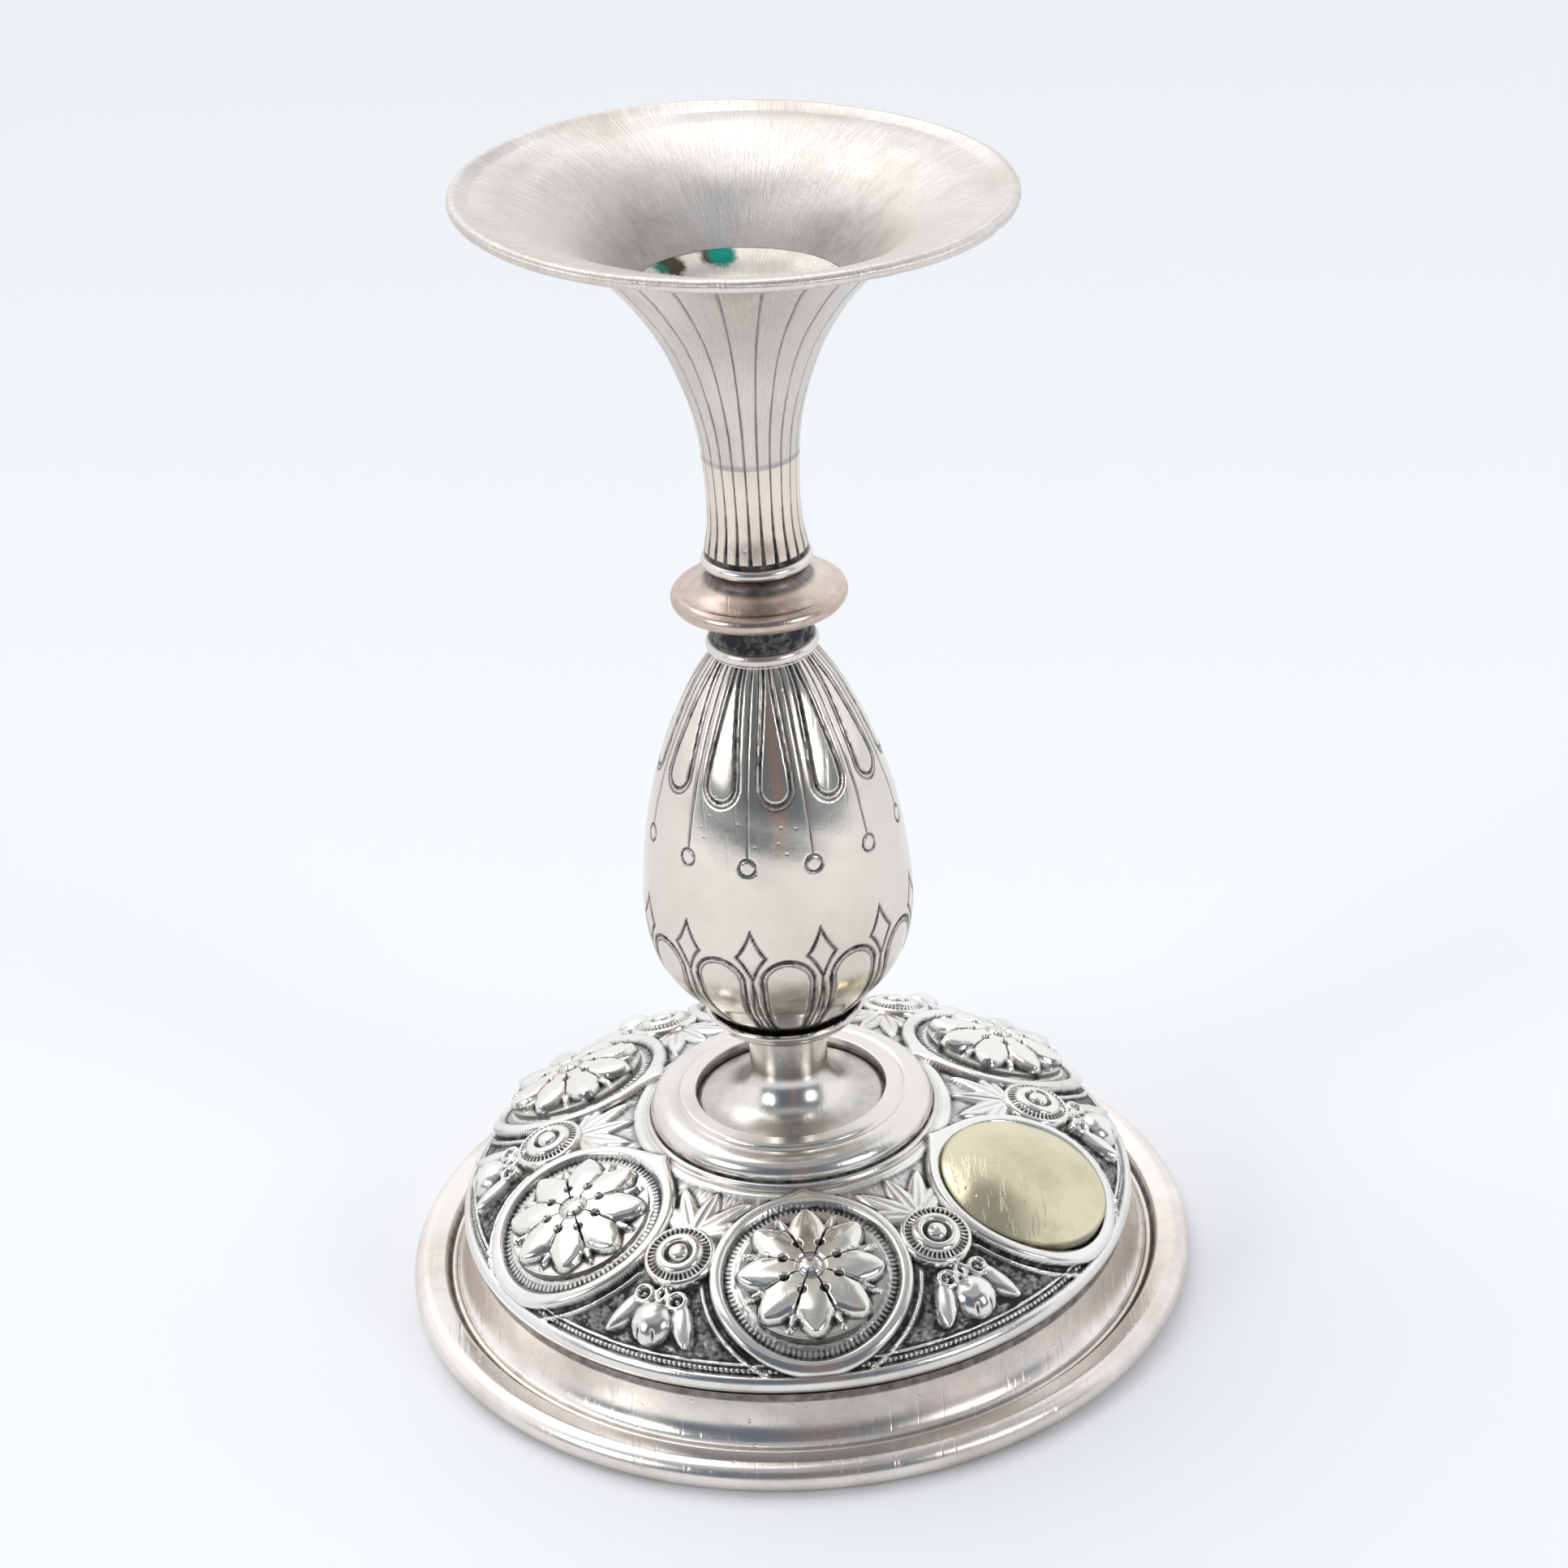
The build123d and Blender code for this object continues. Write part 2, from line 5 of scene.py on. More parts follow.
import bpy
import numpy as np
from mathutils import Matrix, Vector


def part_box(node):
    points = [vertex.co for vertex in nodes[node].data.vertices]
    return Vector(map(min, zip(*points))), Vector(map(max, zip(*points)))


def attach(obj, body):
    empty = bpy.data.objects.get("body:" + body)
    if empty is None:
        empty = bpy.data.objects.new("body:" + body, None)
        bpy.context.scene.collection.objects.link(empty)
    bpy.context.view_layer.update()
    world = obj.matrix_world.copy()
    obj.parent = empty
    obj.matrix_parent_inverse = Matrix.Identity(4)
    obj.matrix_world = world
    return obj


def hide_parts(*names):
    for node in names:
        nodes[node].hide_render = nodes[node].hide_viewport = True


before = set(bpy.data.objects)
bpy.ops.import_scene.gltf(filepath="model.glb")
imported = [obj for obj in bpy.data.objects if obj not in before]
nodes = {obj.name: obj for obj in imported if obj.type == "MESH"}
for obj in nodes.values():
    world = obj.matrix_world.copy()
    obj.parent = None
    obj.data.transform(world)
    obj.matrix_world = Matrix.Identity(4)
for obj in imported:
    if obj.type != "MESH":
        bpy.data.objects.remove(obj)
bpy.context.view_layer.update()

# ---- Camera ----------------------------------------------------------------------------------------
# Seen from the front and a little above, with the slight roll of a camera held by hand.
camera_place = (0.00241, -0.62578, 0.43895)
camera_elevation = radians(27.764)
camera_roll = radians(3.555)

camera_data = bpy.data.cameras.new("camera")
camera_data.lens = 83.85
camera_data.sensor_width = 36.0
camera_data.clip_start = 0.01
camera = bpy.data.objects.new("camera", camera_data)
bpy.context.scene.collection.objects.link(camera)
camera.matrix_world = (
    Matrix.Translation(camera_place)
    @ Matrix.Rotation(pi / 2 - camera_elevation, 4, "X")
    @ Matrix.Rotation(-camera_roll, 4, "Z")
)
bpy.context.scene.camera = camera

# ---- Studio ----------------------------------------------------------------------------------------
# A white paper floor under a white tent, a soft box on each side, and the dim room behind the camera,
# which only reflections see.
floor_half_width = 4.0
room_half_angle = radians(70)
room_height = 0.72
figure_place = 0.09
room_fade_angle, room_fade_height = 0.35, 0.22
ceiling_from, ceiling_to = 0.76, 0.93
white_cloth = (1.08, 1.10, 1.13, 1)
dull_ceiling = (0.40, 0.42, 0.44, 1)
dim_room = (0.13, 0.16, 0.20, 1)
warm_figure = (0.42, 0.24, 0.16, 1)
paper_colour = (0.93, 0.935, 0.95, 1)
light_target = (0, 0, 0.1)


def add_node(tree, kind, inputs, **settings):
    """A shader node of a kind: its settings are applied, then each input is linked or given its value."""
    node = tree.nodes.new(kind)
    for key, value in settings.items():
        setattr(node, key, value)
    for key, value in inputs.items():
        if isinstance(value, bpy.types.NodeSocket):
            tree.links.new(value, node.inputs[key])
        else:
            node.inputs[key].default_value = value
    return node


def maths(tree, operation, *values, clamp=False):
    """The result of a math node on one to three values."""
    inputs = dict(enumerate(values))
    return add_node(tree, "ShaderNodeMath", inputs, operation=operation, use_clamp=clamp).outputs[0]


def ramp(tree, value, span, ends=(0.0, 1.0), smooth=False):
    """A value carried from a span to its two ends and held there, straight or as a smooth step."""
    inputs = {0: value, "From Min": span[0], "From Max": span[1], "To Min": ends[0], "To Max": ends[1]}
    kind = "SMOOTHSTEP" if smooth else "LINEAR"
    return add_node(tree, "ShaderNodeMapRange", inputs, interpolation_type=kind).outputs[0]


def blend(tree, share, first, second, kind="MIX"):
    """The second colour laid over the first by a share."""
    inputs = {0: share, 6: first, 7: second}
    return add_node(tree, "ShaderNodeMix", inputs, data_type="RGBA", blend_type=kind).outputs[2]


def noise(tree, place, scale, detail, roughness=0.5):
    """Cloudy noise at a place, from zero to one, with a scale in features per metre."""
    inputs = {"Vector": place, "Scale": scale, "Detail": detail, "Roughness": roughness}
    return add_node(tree, "ShaderNodeTexNoise", inputs).outputs[0]


def skin(name, x, y, z, recess, sharp, wrap=True, loop=False):
    """A closed mesh over a grid of points in millimetres, rows by columns. Each four neighbours are one
    face. wrap joins the last column to the first, and without it each side is closed by one flat face.
    loop joins the last row to the first, and without it each end row is closed by a fan on its middle.
    The last grid is each point's share of near black, for oxide and for painted shade, and edges over sharp
    degrees stay hard."""
    rows, columns = x.shape
    points = np.stack([x, y, z], axis=-1).reshape(-1, 3)
    row_count = rows if loop else rows - 1
    column_count = columns if wrap else columns - 1
    row, column = np.meshgrid(np.arange(row_count), np.arange(column_count), indexing="ij")
    near, far = row * columns, (row + 1) % rows * columns
    next_column = (column + 1) % columns
    quads = np.stack([near + column, near + next_column, far + next_column, far + column], axis=-1)
    quads = quads.reshape(-1, 4)
    faces = quads.tolist()
    if not loop:
        first, last = np.arange(columns), np.arange(columns) + (rows - 1) * columns
        middles = [points[first].mean(axis=0), points[last].mean(axis=0)]
        pole = len(points)
        points = np.vstack([points, middles])
        faces += np.stack([np.roll(first, -1), first, np.full(columns, pole)], axis=-1).tolist()
        faces += np.stack([last, np.roll(last, -1), np.full(columns, pole + 1)], axis=-1).tolist()
    if not wrap:
        side = np.arange(rows) * columns
        faces += [side.tolist(), (side + columns - 1)[::-1].tolist()]
    mesh = bpy.data.meshes.new(name)
    mesh.from_pydata((points / 1000).tolist(), [], faces)
    volume = 0.0
    for p, q in ((1, 2), (2, 3)):
        start, middle, end = points[quads[:, 0]], points[quads[:, p]], points[quads[:, q]]
        volume += np.einsum("ij,ij->i", start, np.cross(middle, end)).sum()
    if volume < 0:
        mesh.flip_normals()
    mesh.shade_smooth()
    mesh.set_sharp_from_angle(angle=radians(sharp))
    attribute = mesh.attributes.new("recess", "FLOAT", "POINT")
    values = np.zeros(len(points))
    values[: recess.size] = recess.ravel()
    attribute.data.foreach_set("value", values.astype(np.float32))
    piece = bpy.data.objects.new(name, mesh)
    bpy.context.scene.collection.objects.link(piece)
    return piece


def sheet_of(name, x, y, z):
    """An open mesh over a grid of points in metres, rows by columns, each four neighbours one face."""
    rows, columns = x.shape
    row, column = np.meshgrid(np.arange(rows - 1), np.arange(columns - 1), indexing="ij")
    corner = row * columns + column
    faces = np.stack([corner, corner + 1, corner + columns + 1, corner + columns], axis=-1)
    mesh = bpy.data.meshes.new(name)
    mesh.from_pydata(np.stack([x, y, z], axis=-1).reshape(-1, 3).tolist(), [], faces.reshape(-1, 4).tolist())
    piece = bpy.data.objects.new(name, mesh)
    bpy.context.scene.collection.objects.link(piece)
    return piece


floor_steps = np.linspace(-floor_half_width, floor_half_width, 3)
floor_x, floor_y = np.meshgrid(floor_steps, floor_steps)
floor = sheet_of("floor", floor_x, floor_y, np.full_like(floor_x, -0.0002))
paper = bpy.data.materials.new("white_paper")
paper.use_nodes = True
paper_shader = paper.node_tree.nodes["Principled BSDF"]
paper_shader.inputs["Base Color"].default_value = paper_colour
paper_shader.inputs["Roughness"].default_value = 0.9
paper_shader.inputs["Specular IOR Level"].default_value = 0.1
floor.data.materials.append(paper)

tent = bpy.data.worlds.new("white_tent")
bpy.context.scene.world = tent
tent.use_nodes = True
tree = tent.node_tree
direction = add_node(tree, "ShaderNodeTexCoord", {}).outputs["Generated"]
axes = add_node(tree, "ShaderNodeSeparateXYZ", {0: direction})
toward = maths(tree, "MULTIPLY", axes.outputs["Y"], -1.0)
turn_from_front = maths(tree, "ARCTAN2", axes.outputs["X"], toward)
side = maths(tree, "ABSOLUTE", turn_from_front)
room_side = ramp(tree, side, (room_half_angle, room_half_angle + room_fade_angle), (1.0, 0.0), True)
up = axes.outputs["Z"]
room_top = ramp(tree, up, (room_height, room_height + room_fade_height), (1.0, 0.0), True)
room_share = maths(tree, "MULTIPLY", room_side, room_top)
figure_side = maths(tree, "ABSOLUTE", maths(tree, "SUBTRACT", turn_from_front, figure_place))
figure_wave = noise(tree, direction, 7.0, 2.0)
figure = ramp(tree, figure_side, (0.02, 0.16), (1.4, 0.0), True)
figure_share = maths(tree, "MULTIPLY", figure, figure_wave, clamp=True)
room_colour = blend(tree, figure_share, dim_room, warm_figure)
ceiling_share = ramp(tree, up, (ceiling_from, ceiling_to), smooth=True)
cloth = blend(tree, ceiling_share, white_cloth, dull_ceiling)
sky = blend(tree, room_share, cloth, room_colour)
tree.links.new(sky, tree.nodes["Background"].inputs["Color"])
tree.nodes["Background"].inputs["Strength"].default_value = 1.0


def soft_box(name, place, size, power):
    """A square area light of a size in metres, aimed at the middle of the stem."""
    light = bpy.data.lights.new(name, "AREA")
    light.shape = "SQUARE"
    light.size = size
    light.energy = power
    box = bpy.data.objects.new(name, light)
    bpy.context.scene.collection.objects.link(box)
    aim = Vector(light_target) - Vector(place)
    box.matrix_world = Matrix.Translation(place) @ aim.to_track_quat("-Z", "Y").to_matrix().to_4x4()


soft_box("soft_box_left", (-1.06, -0.66, 0.66), 0.46, 4.2)
soft_box("soft_box_right", (0.98, -0.82, 0.62), 0.42, 3.6)
skylight_data = bpy.data.lights.new("skylight", "SUN")
skylight_data.energy = 0.85
skylight_data.angle = radians(50)
skylight = bpy.data.objects.new("skylight", skylight_data)
bpy.context.scene.collection.objects.link(skylight)
skylight.matrix_world = Matrix.Rotation(radians(-20), 4, "X") @ Matrix.Rotation(radians(-16), 4, "Y")
bpy.context.scene.view_settings.view_transform = "Standard"

# ---- Foot ring -------------------------------------------------------------------------------------
# Spun from sheet silver over the edge it stands on: half-round edge, flat shelf, a groove with a bead,
# and a cove that rises to the dome. Handled at the edge, so it is scratched and warm with tarnish.
foot_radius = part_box("foot_ring")[1].x * 1000
edge_height = 6.0
shelf_radius = foot_radius - 6.6
shelf_low = 5.5
bead_radius = foot_radius - 8.3
bead_half_width = 0.65
cove_radius = foot_radius - 12.7
cove_low, cove_high = 4.2, 14.25
foot_wall = 1.4
edge_in = 7.6
patch_scale, mottle_scale, pit_scale = 38.0, 420.0, 330.0
# Near black, for oxide in recesses and also for painted shade and a painted dark reflection on some turned
# parts.
oxide_and_shade_colour = (0.035, 0.036, 0.04, 1)


def arc(middle, radii, start, end, steps):
    """Points along an ellipse's edge, from one angle in degrees to another: middle plus radii times
    cosine and sine."""
    angle = np.radians(np.linspace(start, end, steps))
    return np.stack([middle[0] + radii[0] * np.cos(angle), middle[1] + radii[1] * np.sin(angle)], axis=-1)


def line(*corners, steps=6):
    """Points along straight runs between corners, evenly spaced in each run."""
    share = np.linspace(0, 1, steps, endpoint=False)[:, None]
    runs = [np.array(a) + share * (np.array(b) - np.array(a)) for a, b in zip(corners, corners[1:])]
    return np.vstack(runs + [np.array([corners[-1]], float)])


def smooth_line(corners, steps):
    """A smooth curve through points: each span is a cubic whose end slopes are those of the line between
    the two points beside it, by distance along the curve."""
    corners = np.array(corners, float)
    along = np.concatenate([[0], np.cumsum(np.hypot(*np.diff(corners, axis=0).T))])
    slope = np.gradient(corners, along, axis=0, edge_order=2)
    where = np.linspace(0, along[-1], steps)
    span = np.clip(np.searchsorted(along, where, side="right") - 1, 0, len(along) - 2)
    length = (along[span + 1] - along[span])[:, None]
    t = (where[:, None] - along[span][:, None]) / length
    return (
        (2 * t**3 - 3 * t**2 + 1) * corners[span]
        + (t**3 - 2 * t**2 + t) * length * slope[span]
        + (-2 * t**3 + 3 * t**2) * corners[span + 1]
        + (t**3 - t**2) * length * slope[span + 1]
    )


def stripe(distance, width):
    """A soft stripe across a distance: a bell curve, one in its middle."""
    return np.exp(-((distance / width) ** 2))


def dents(angle, along, amount, seed):
    """Slight unevenness of hand work: six crossed sine waves of random pitch and phase, added up."""
    chance = np.random.default_rng(seed)
    total = np.zeros(np.broadcast(angle, along).shape)
    for _ in range(6):
        turns, pitch, phase = chance.integers(1, 9), chance.uniform(3, 14), chance.uniform(0, 2 * pi)
        total += np.sin(turns * angle + along / pitch * pi + phase)
    return total * amount / 6


def around(columns):
    """A row of angles evenly spaced round the axis."""
    return np.linspace(0, 2 * pi, columns, endpoint=False)[None, :]


def round_skin(name, radius, height, angle, **closing):
    """A skin over radius and height, with each column at its angle round the axis."""
    return skin(name, radius * np.cos(angle), radius * np.sin(angle), height, **closing)


def turned(name, profile, recess, columns=192, uneven=0.03, seed=1, sharp=35, loop=True):
    """A turned piece: the profile of (radius, height) points carried round the axis, with dents."""
    angle = around(columns)
    radius, height = profile[:, :1], profile[:, 1:]
    radius = radius + dents(angle, height, uneven, seed) * (radius > 1)
    shades = np.repeat(np.clip(recess, 0, 1)[:, None], columns, axis=1)
    height = np.repeat(height, columns, axis=1)
    return round_skin(name, radius, height, angle, recess=shades, sharp=sharp, loop=loop)


def silver(name, bright, tarnish, tarnish_span, polish, scratches, pits, grain=(900.0, 60.0, 60.0)):
    """Silver plate: bright metal that warms and dulls in soft patches, near black with oxide in its recesses
    and with painted shade where a piece's shade marks it, fine scratches along one direction and small pits.
    Patterns are on object coordinates in metres.
    polish holds the roughness of the cleanest and the dullest metal."""
    finish = bpy.data.materials.new(name)
    finish.use_nodes = True
    tree = finish.node_tree
    shader = tree.nodes["Principled BSDF"]
    place = add_node(tree, "ShaderNodeTexCoord", {}).outputs["Object"]
    patches = noise(tree, place, patch_scale, 6.0, 0.62)
    mottle = noise(tree, place, mottle_scale, 4.0, 0.6)
    warm = ramp(tree, patches, tarnish_span, smooth=True)
    speckle = ramp(tree, mottle, (0.3, 0.7), (0.6, 1.0))
    metal = blend(tree, maths(tree, "MULTIPLY", warm, speckle), (*bright, 1), (*tarnish, 1))
    # The attribute read here marks oxide in recesses, and painted shade and a painted dark reflection on some
    # turned parts.
    oxide_and_shade_amount = add_node(tree, "ShaderNodeAttribute", {}, attribute_name="recess").outputs["Fac"]
    broken = ramp(tree, mottle, (0.25, 0.75), (0.7, 1.25))
    oxide_and_shade_share = maths(tree, "MULTIPLY", oxide_and_shade_amount, broken, clamp=True)
    tree.links.new(blend(tree, oxide_and_shade_share, metal, oxide_and_shade_colour), shader.inputs["Base Color"])
    stretch = {"Vector": place, "Rotation": (0.3, 0.5, 0.4), "Scale": grain}
    stretched = add_node(tree, "ShaderNodeMapping", stretch).outputs[0]
    scratch = ramp(tree, noise(tree, stretched, 1.0, 3.0), (0.58, 0.72))
    spots = add_node(tree, "ShaderNodeTexVoronoi", {"Vector": place, "Scale": pit_scale})
    pit = ramp(tree, spots.outputs["Distance"], (0.05, 0.16))
    dullness = ramp(tree, patches, (0.3, 0.75), polish)
    scratched = maths(tree, "MULTIPLY_ADD", scratch, 0.12 * scratches, dullness)
    rough = maths(tree, "MULTIPLY_ADD", oxide_and_shade_share, 0.3, scratched, clamp=True)
    tree.links.new(rough, shader.inputs["Roughness"])
    worn = add_node(tree, "ShaderNodeBump", {"Height": mottle, "Strength": 0.10, "Distance": 0.0002})
    relief = {"Height": pit, "Strength": pits, "Distance": 0.0001, "Normal": worn.outputs[0]}
    pitted = add_node(tree, "ShaderNodeBump", relief)
    relief = {"Height": scratch, "Strength": scratches, "Distance": 0.0001, "Normal": pitted.outputs[0]}
    marked = add_node(tree, "ShaderNodeBump", relief, invert=True)
    tree.links.new(marked.outputs[0], shader.inputs["Normal"])
    shader.inputs["Metallic"].default_value = 1.0
    return finish


def finish_piece(piece, finish, replaced, body="candlestick"):
    """Gives a piece its finish and its slot, lets it ride on a body, and hides the node it stands for."""
    piece.data.materials.clear()
    piece.data.materials.append(finish)
    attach(piece, body)
    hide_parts(replaced)
    return piece


cove_out = bead_radius - 0.6 - cove_radius
cove_in = bead_radius + 2.0 - cove_radius
cove_rise = cove_high - cove_low
foot_profile = np.vstack(
    [
        line((foot_radius - edge_in, 0), (foot_radius - 3, 0), steps=6),
        arc((foot_radius - 3, edge_height / 2), (3, edge_height / 2), -88, 88, 26),
        line((foot_radius - 3.2, edge_height), (shelf_radius + 0.3, shelf_low), steps=8),
        arc((shelf_radius + 0.3, shelf_low - 0.4), (0.4, 0.4), 90, 180, 6),
        line(
            (shelf_radius - 0.15, shelf_low - 0.6), (bead_radius + bead_half_width, cove_low - 0.7), steps=6
        ),
        arc((bead_radius, cove_low - 0.5), (bead_half_width, 0.75), 0, 165, 10),
        arc((bead_radius - 0.6, cove_high), (cove_out, cove_rise), 268, 182, 40),
        line((cove_radius, cove_high), (cove_radius - 2.0, cove_high), steps=3),
        arc((bead_radius, cove_high), (cove_in, cove_rise + foot_wall), 180, 268, 24),
        line((bead_radius, cove_low - 2.0), (foot_radius - edge_in, 0.4), steps=4),
    ]
)
foot_out, foot_up = foot_profile.T
foot_shade = 0.8 * stripe(foot_out - (bead_radius + 1.1), 0.40) * (foot_up > 3.0)
foot_shade += 0.5 * stripe(foot_out - bead_radius + 1.0, 0.3) * (foot_up > 3.0)
foot_shade += 0.7 * (foot_up > cove_high - 1.6)
foot = turned("foot_ring_spun", foot_profile, foot_shade, columns=320, uneven=0.10, seed=3, sharp=50)
foot_silver = silver(
    "foot_silver",
    bright=(0.86, 0.81, 0.765),
    tarnish=(0.66, 0.59, 0.54),
    tarnish_span=(0.38, 0.68),
    polish=(0.18, 0.42),
    scratches=0.35,
    pits=0.35,
)
finish_piece(foot, foot_silver, "foot_ring")

# ---- Dome ------------------------------------------------------------------------------------------
# One raised sheet chased from both sides: six framed medallions, leaves above each stud, and scrolls
# with a bud below it on a stippled ground. Made here as six like sectors, each round one medallion.
dome_radius, dome_rise, dome_base = 67.8, 22.3, 15.4
dome_hole_radius = 12.0
dome_wall = 1.2
sector_count = 6
first_turn = radians(-88)
medallion_radius = 51.0
stud_place_radius = 49.5
gilt_place = 1
frame_inner, frame_outer = 17.0, 19.7
sector_columns, sector_rows, crown_rows = 208, 169, 8
inner_step = 8
crown_turn_radius = 26
groove_radius, floor_radius = 16.2, 15.6
band_radius, band_line_radius = 32.2, 31.2
lip_width, prick_pitch, groove_notches = 3.0, 1.05, 96
scroll_across, scroll_below, bud_below = 3.5, 9.4, 14.6
lance_leaves = ((0, 11.5), (36, 12.5), (66, 11.5))


def bump_of(distance, width, height):
    """A rounded ridge across a distance: height times the square root of one less the squared share."""
    return height * np.sqrt(np.clip(1 - (distance / width) ** 2, 0, 1))


def plateau(distance, width, softness):
    """One inside a width and zero outside it, with a smooth edge: a cubic step across the softness."""
    t = np.clip((width - distance) / softness + 0.5, 0, 1)
    return t * t * (3 - 2 * t)


def leaf(across, along, length, width, height, point=0.75):
    """A leaf's height over its own plane: its half width grows as a power of the way along and falls to a
    point, and its section is a half round with a sunk midrib."""
    t = np.clip(along / length, 0, 1)
    half = width * t**0.6 * (1 - t) ** point / 0.4 + 1e-6
    inside = np.sqrt(np.clip(1 - (across / half) ** 2, 0, 1)) * ((along > 0) & (along < length))
    return height * inside * (1 - 0.30 * stripe(across, 0.18 * width))


def softened(height, rounds):
    """A height field smoothed by its neighbours: each value becomes the mean of itself, counted twice,
    and the four beside it, as many times over as there are rounds."""
    for _ in range(rounds):
        edge = np.pad(height, 1, mode="edge")
        height = (2 * height + edge[:-2, 1:-1] + edge[2:, 1:-1] + edge[1:-1, :-2] + edge[1:-1, 2:]) / 6
    return height


def dome_height(radius):
    """Height of the dome's plain face at a radius: the ellipse's equation solved for height."""
    return dome_base + dome_rise * np.sqrt(np.clip(1 - (radius / dome_radius) ** 2, 0, 1))


def dome_seat(radius, turn):
    """The point of the dome's face at a radius and an angle, and three directions there: along the
    circle, downhill and out of the face."""
    height = float(dome_height(radius))
    out = np.array([cos(turn), sin(turn), 0.0])
    normal = out * radius / dome_radius**2 + np.array([0, 0, (height - dome_base) / dome_rise**2])
    normal /= np.linalg.norm(normal)
    tangent = np.array([-sin(turn), cos(turn), 0.0])
    return out * radius + np.array([0, 0, height]), tangent, np.cross(tangent, normal), normal


def chased_face(turn, plain):
    """Positions, outward directions, heights and recess shade over one sector; plain leaves the hatching
    out. Distances from a medallion are measured in its tangent plane, and those from a stud along the
    sheet."""
    hole_lean, crown_lean = np.arcsin(np.array([dome_hole_radius, crown_turn_radius]) / dome_radius)
    lean = np.concatenate(
        [
            np.linspace(hole_lean, crown_lean, crown_rows, endpoint=False),
            np.linspace(crown_lean, pi / 2, sector_rows),
        ]
    )[:, None]
    swing = np.linspace(-pi / sector_count, pi / sector_count, sector_columns)[None, :]
    radius, height = dome_radius * np.sin(lean), dome_base + dome_rise * np.cos(lean)
    steps = np.hypot(np.diff(radius[:, 0]), np.diff(height[:, 0]))
    travel = np.concatenate([[0], np.cumsum(steps)])[:, None]
    stud_travel = np.interp(stud_place_radius, radius[:, 0], travel[:, 0])
    x, y = radius * np.cos(turn + swing), radius * np.sin(turn + swing)
    z = height + 0 * x
    out_r, out_z = np.sin(lean) / dome_radius, np.cos(lean) / dome_rise
    size = np.hypot(out_r, out_z)
    out_r, out_z = out_r / size, out_z / size
    centre, tangent, downhill, _ = dome_seat(medallion_radius, turn)
    offset = np.stack([x, y, z], axis=-1) - centre
    across, down = offset @ tangent, offset @ downhill
    down = down * np.sign(np.array([cos(turn), sin(turn), 0]) @ downhill)
    reach = np.hypot(across, down)
    bearing = np.degrees(np.arctan2(across, -down))
    chance = np.random.default_rng(11)
    stipple = softened(chance.normal(size=x.shape), 1) * 2.2
    outer = frame_outer + 1.9 * np.exp(-np.abs(bearing / 4.5)) + 0.5 * stripe(bearing, 14)
    below = travel - stud_travel + 0 * x
    mirrored = radius * (pi / sector_count - np.abs(swing))
    lower = plateau(-below, -1.0, 1.2)
    upper = 1 - lower
    free = 1 - plateau(reach, outer, 0.4)
    to_edge = travel.max() - travel + 0 * x
    rim = plateau(to_edge, lip_width, 0.5)
    ground = free * (1 - rim)

    shape = np.zeros_like(x)
    shade = np.zeros_like(x)
    # Ground of the two kinds of spandrel.
    shape += ground * lower * (-0.75 + 0.045 * stipple)
    shade += ground * lower * 0.82
    crown_band = plateau(radius, band_radius, 0.5)
    shape += ground * upper * (1 - crown_band) * (-0.35 + 0.03 * stipple)
    shade += ground * upper * (1 - crown_band) * 0.22
    shape += 0.25 * ground * plateau(np.abs(radius - band_line_radius), 0.5, 0.3)
    # Raised frame round the medallion, and the hatched groove inside it.
    off_middle, frame_half = reach - (frame_inner + outer) / 2, (outer - frame_inner) / 2
    shape += bump_of(off_middle, frame_half + 0.05, 0.80) * (1 - rim)
    shape += 0.45 * plateau(np.abs(off_middle), frame_half, 0.4) * (1 - rim)
    hatch = 0.5 + 0.5 * np.cos(np.radians(bearing) * groove_notches)
    channel = 0 if plain else plateau(np.abs(reach - groove_radius), 0.75, 0.5)
    shape += channel * (-0.10 - 0.35 * hatch)
    shade += channel * (0.12 + 0.50 * hatch)
    floor_disc = plateau(reach, floor_radius, 0.5)
    shape += floor_disc * (-0.12 + 0.05 * stipple)
    shade += floor_disc * 0.22
    # Thin border line and a row of pricked dots along each lower spandrel.
    border = np.abs(reach - (frame_outer + 1.5))
    past_stud = ground * lower * plateau(-below, -5.0, 1.5)
    shape += past_stud * plateau(below, 40, 1) * bump_of(border, 0.42, 0.75)
    shade -= past_stud * plateau(border, 0.42, 0.2) * 0.85
    prick = 0.5 + 0.5 * np.cos(radius * swing * 2 * pi / prick_pitch)
    pricked = plateau(np.abs(to_edge - 3.9), 0.45, 0.25) * ground * lower
    shape += pricked * 0.65 * prick
    shade -= pricked * 0.75 * prick
    inner_line = plateau(np.abs(to_edge - 5.1), 0.28, 0.2) * ground * lower
    shape += inner_line * 0.55
    shade -= inner_line * 0.8
    # Three lance leaves above the stud, fanned toward the crown.
    rise = -(below + 6.0)
    for lean_angle, length in lance_leaves:
        a = radians(lean_angle)
        along = rise * cos(a) + mirrored * sin(a)
        off = mirrored * cos(a) - rise * sin(a)
        blade = leaf(off, along, length, 2.2, 1.0) * upper * free
        shape = np.maximum(shape, blade - 0.35 + (blade <= 0) * -5)
        shade = np.where(blade > 0.25, 0.06, shade)
    # Scrolls, bud, split petals and side leaves below the stud.
    def lift(over, ground_depth=0.75):
        """Raises the shape to a form that stands on the ground, and clears the shade from it."""
        shape[...] = np.where(over > 0, np.maximum(shape, over - ground_depth), shape)
        shade[...] = np.where(over > 0.22, 0.0, shade)

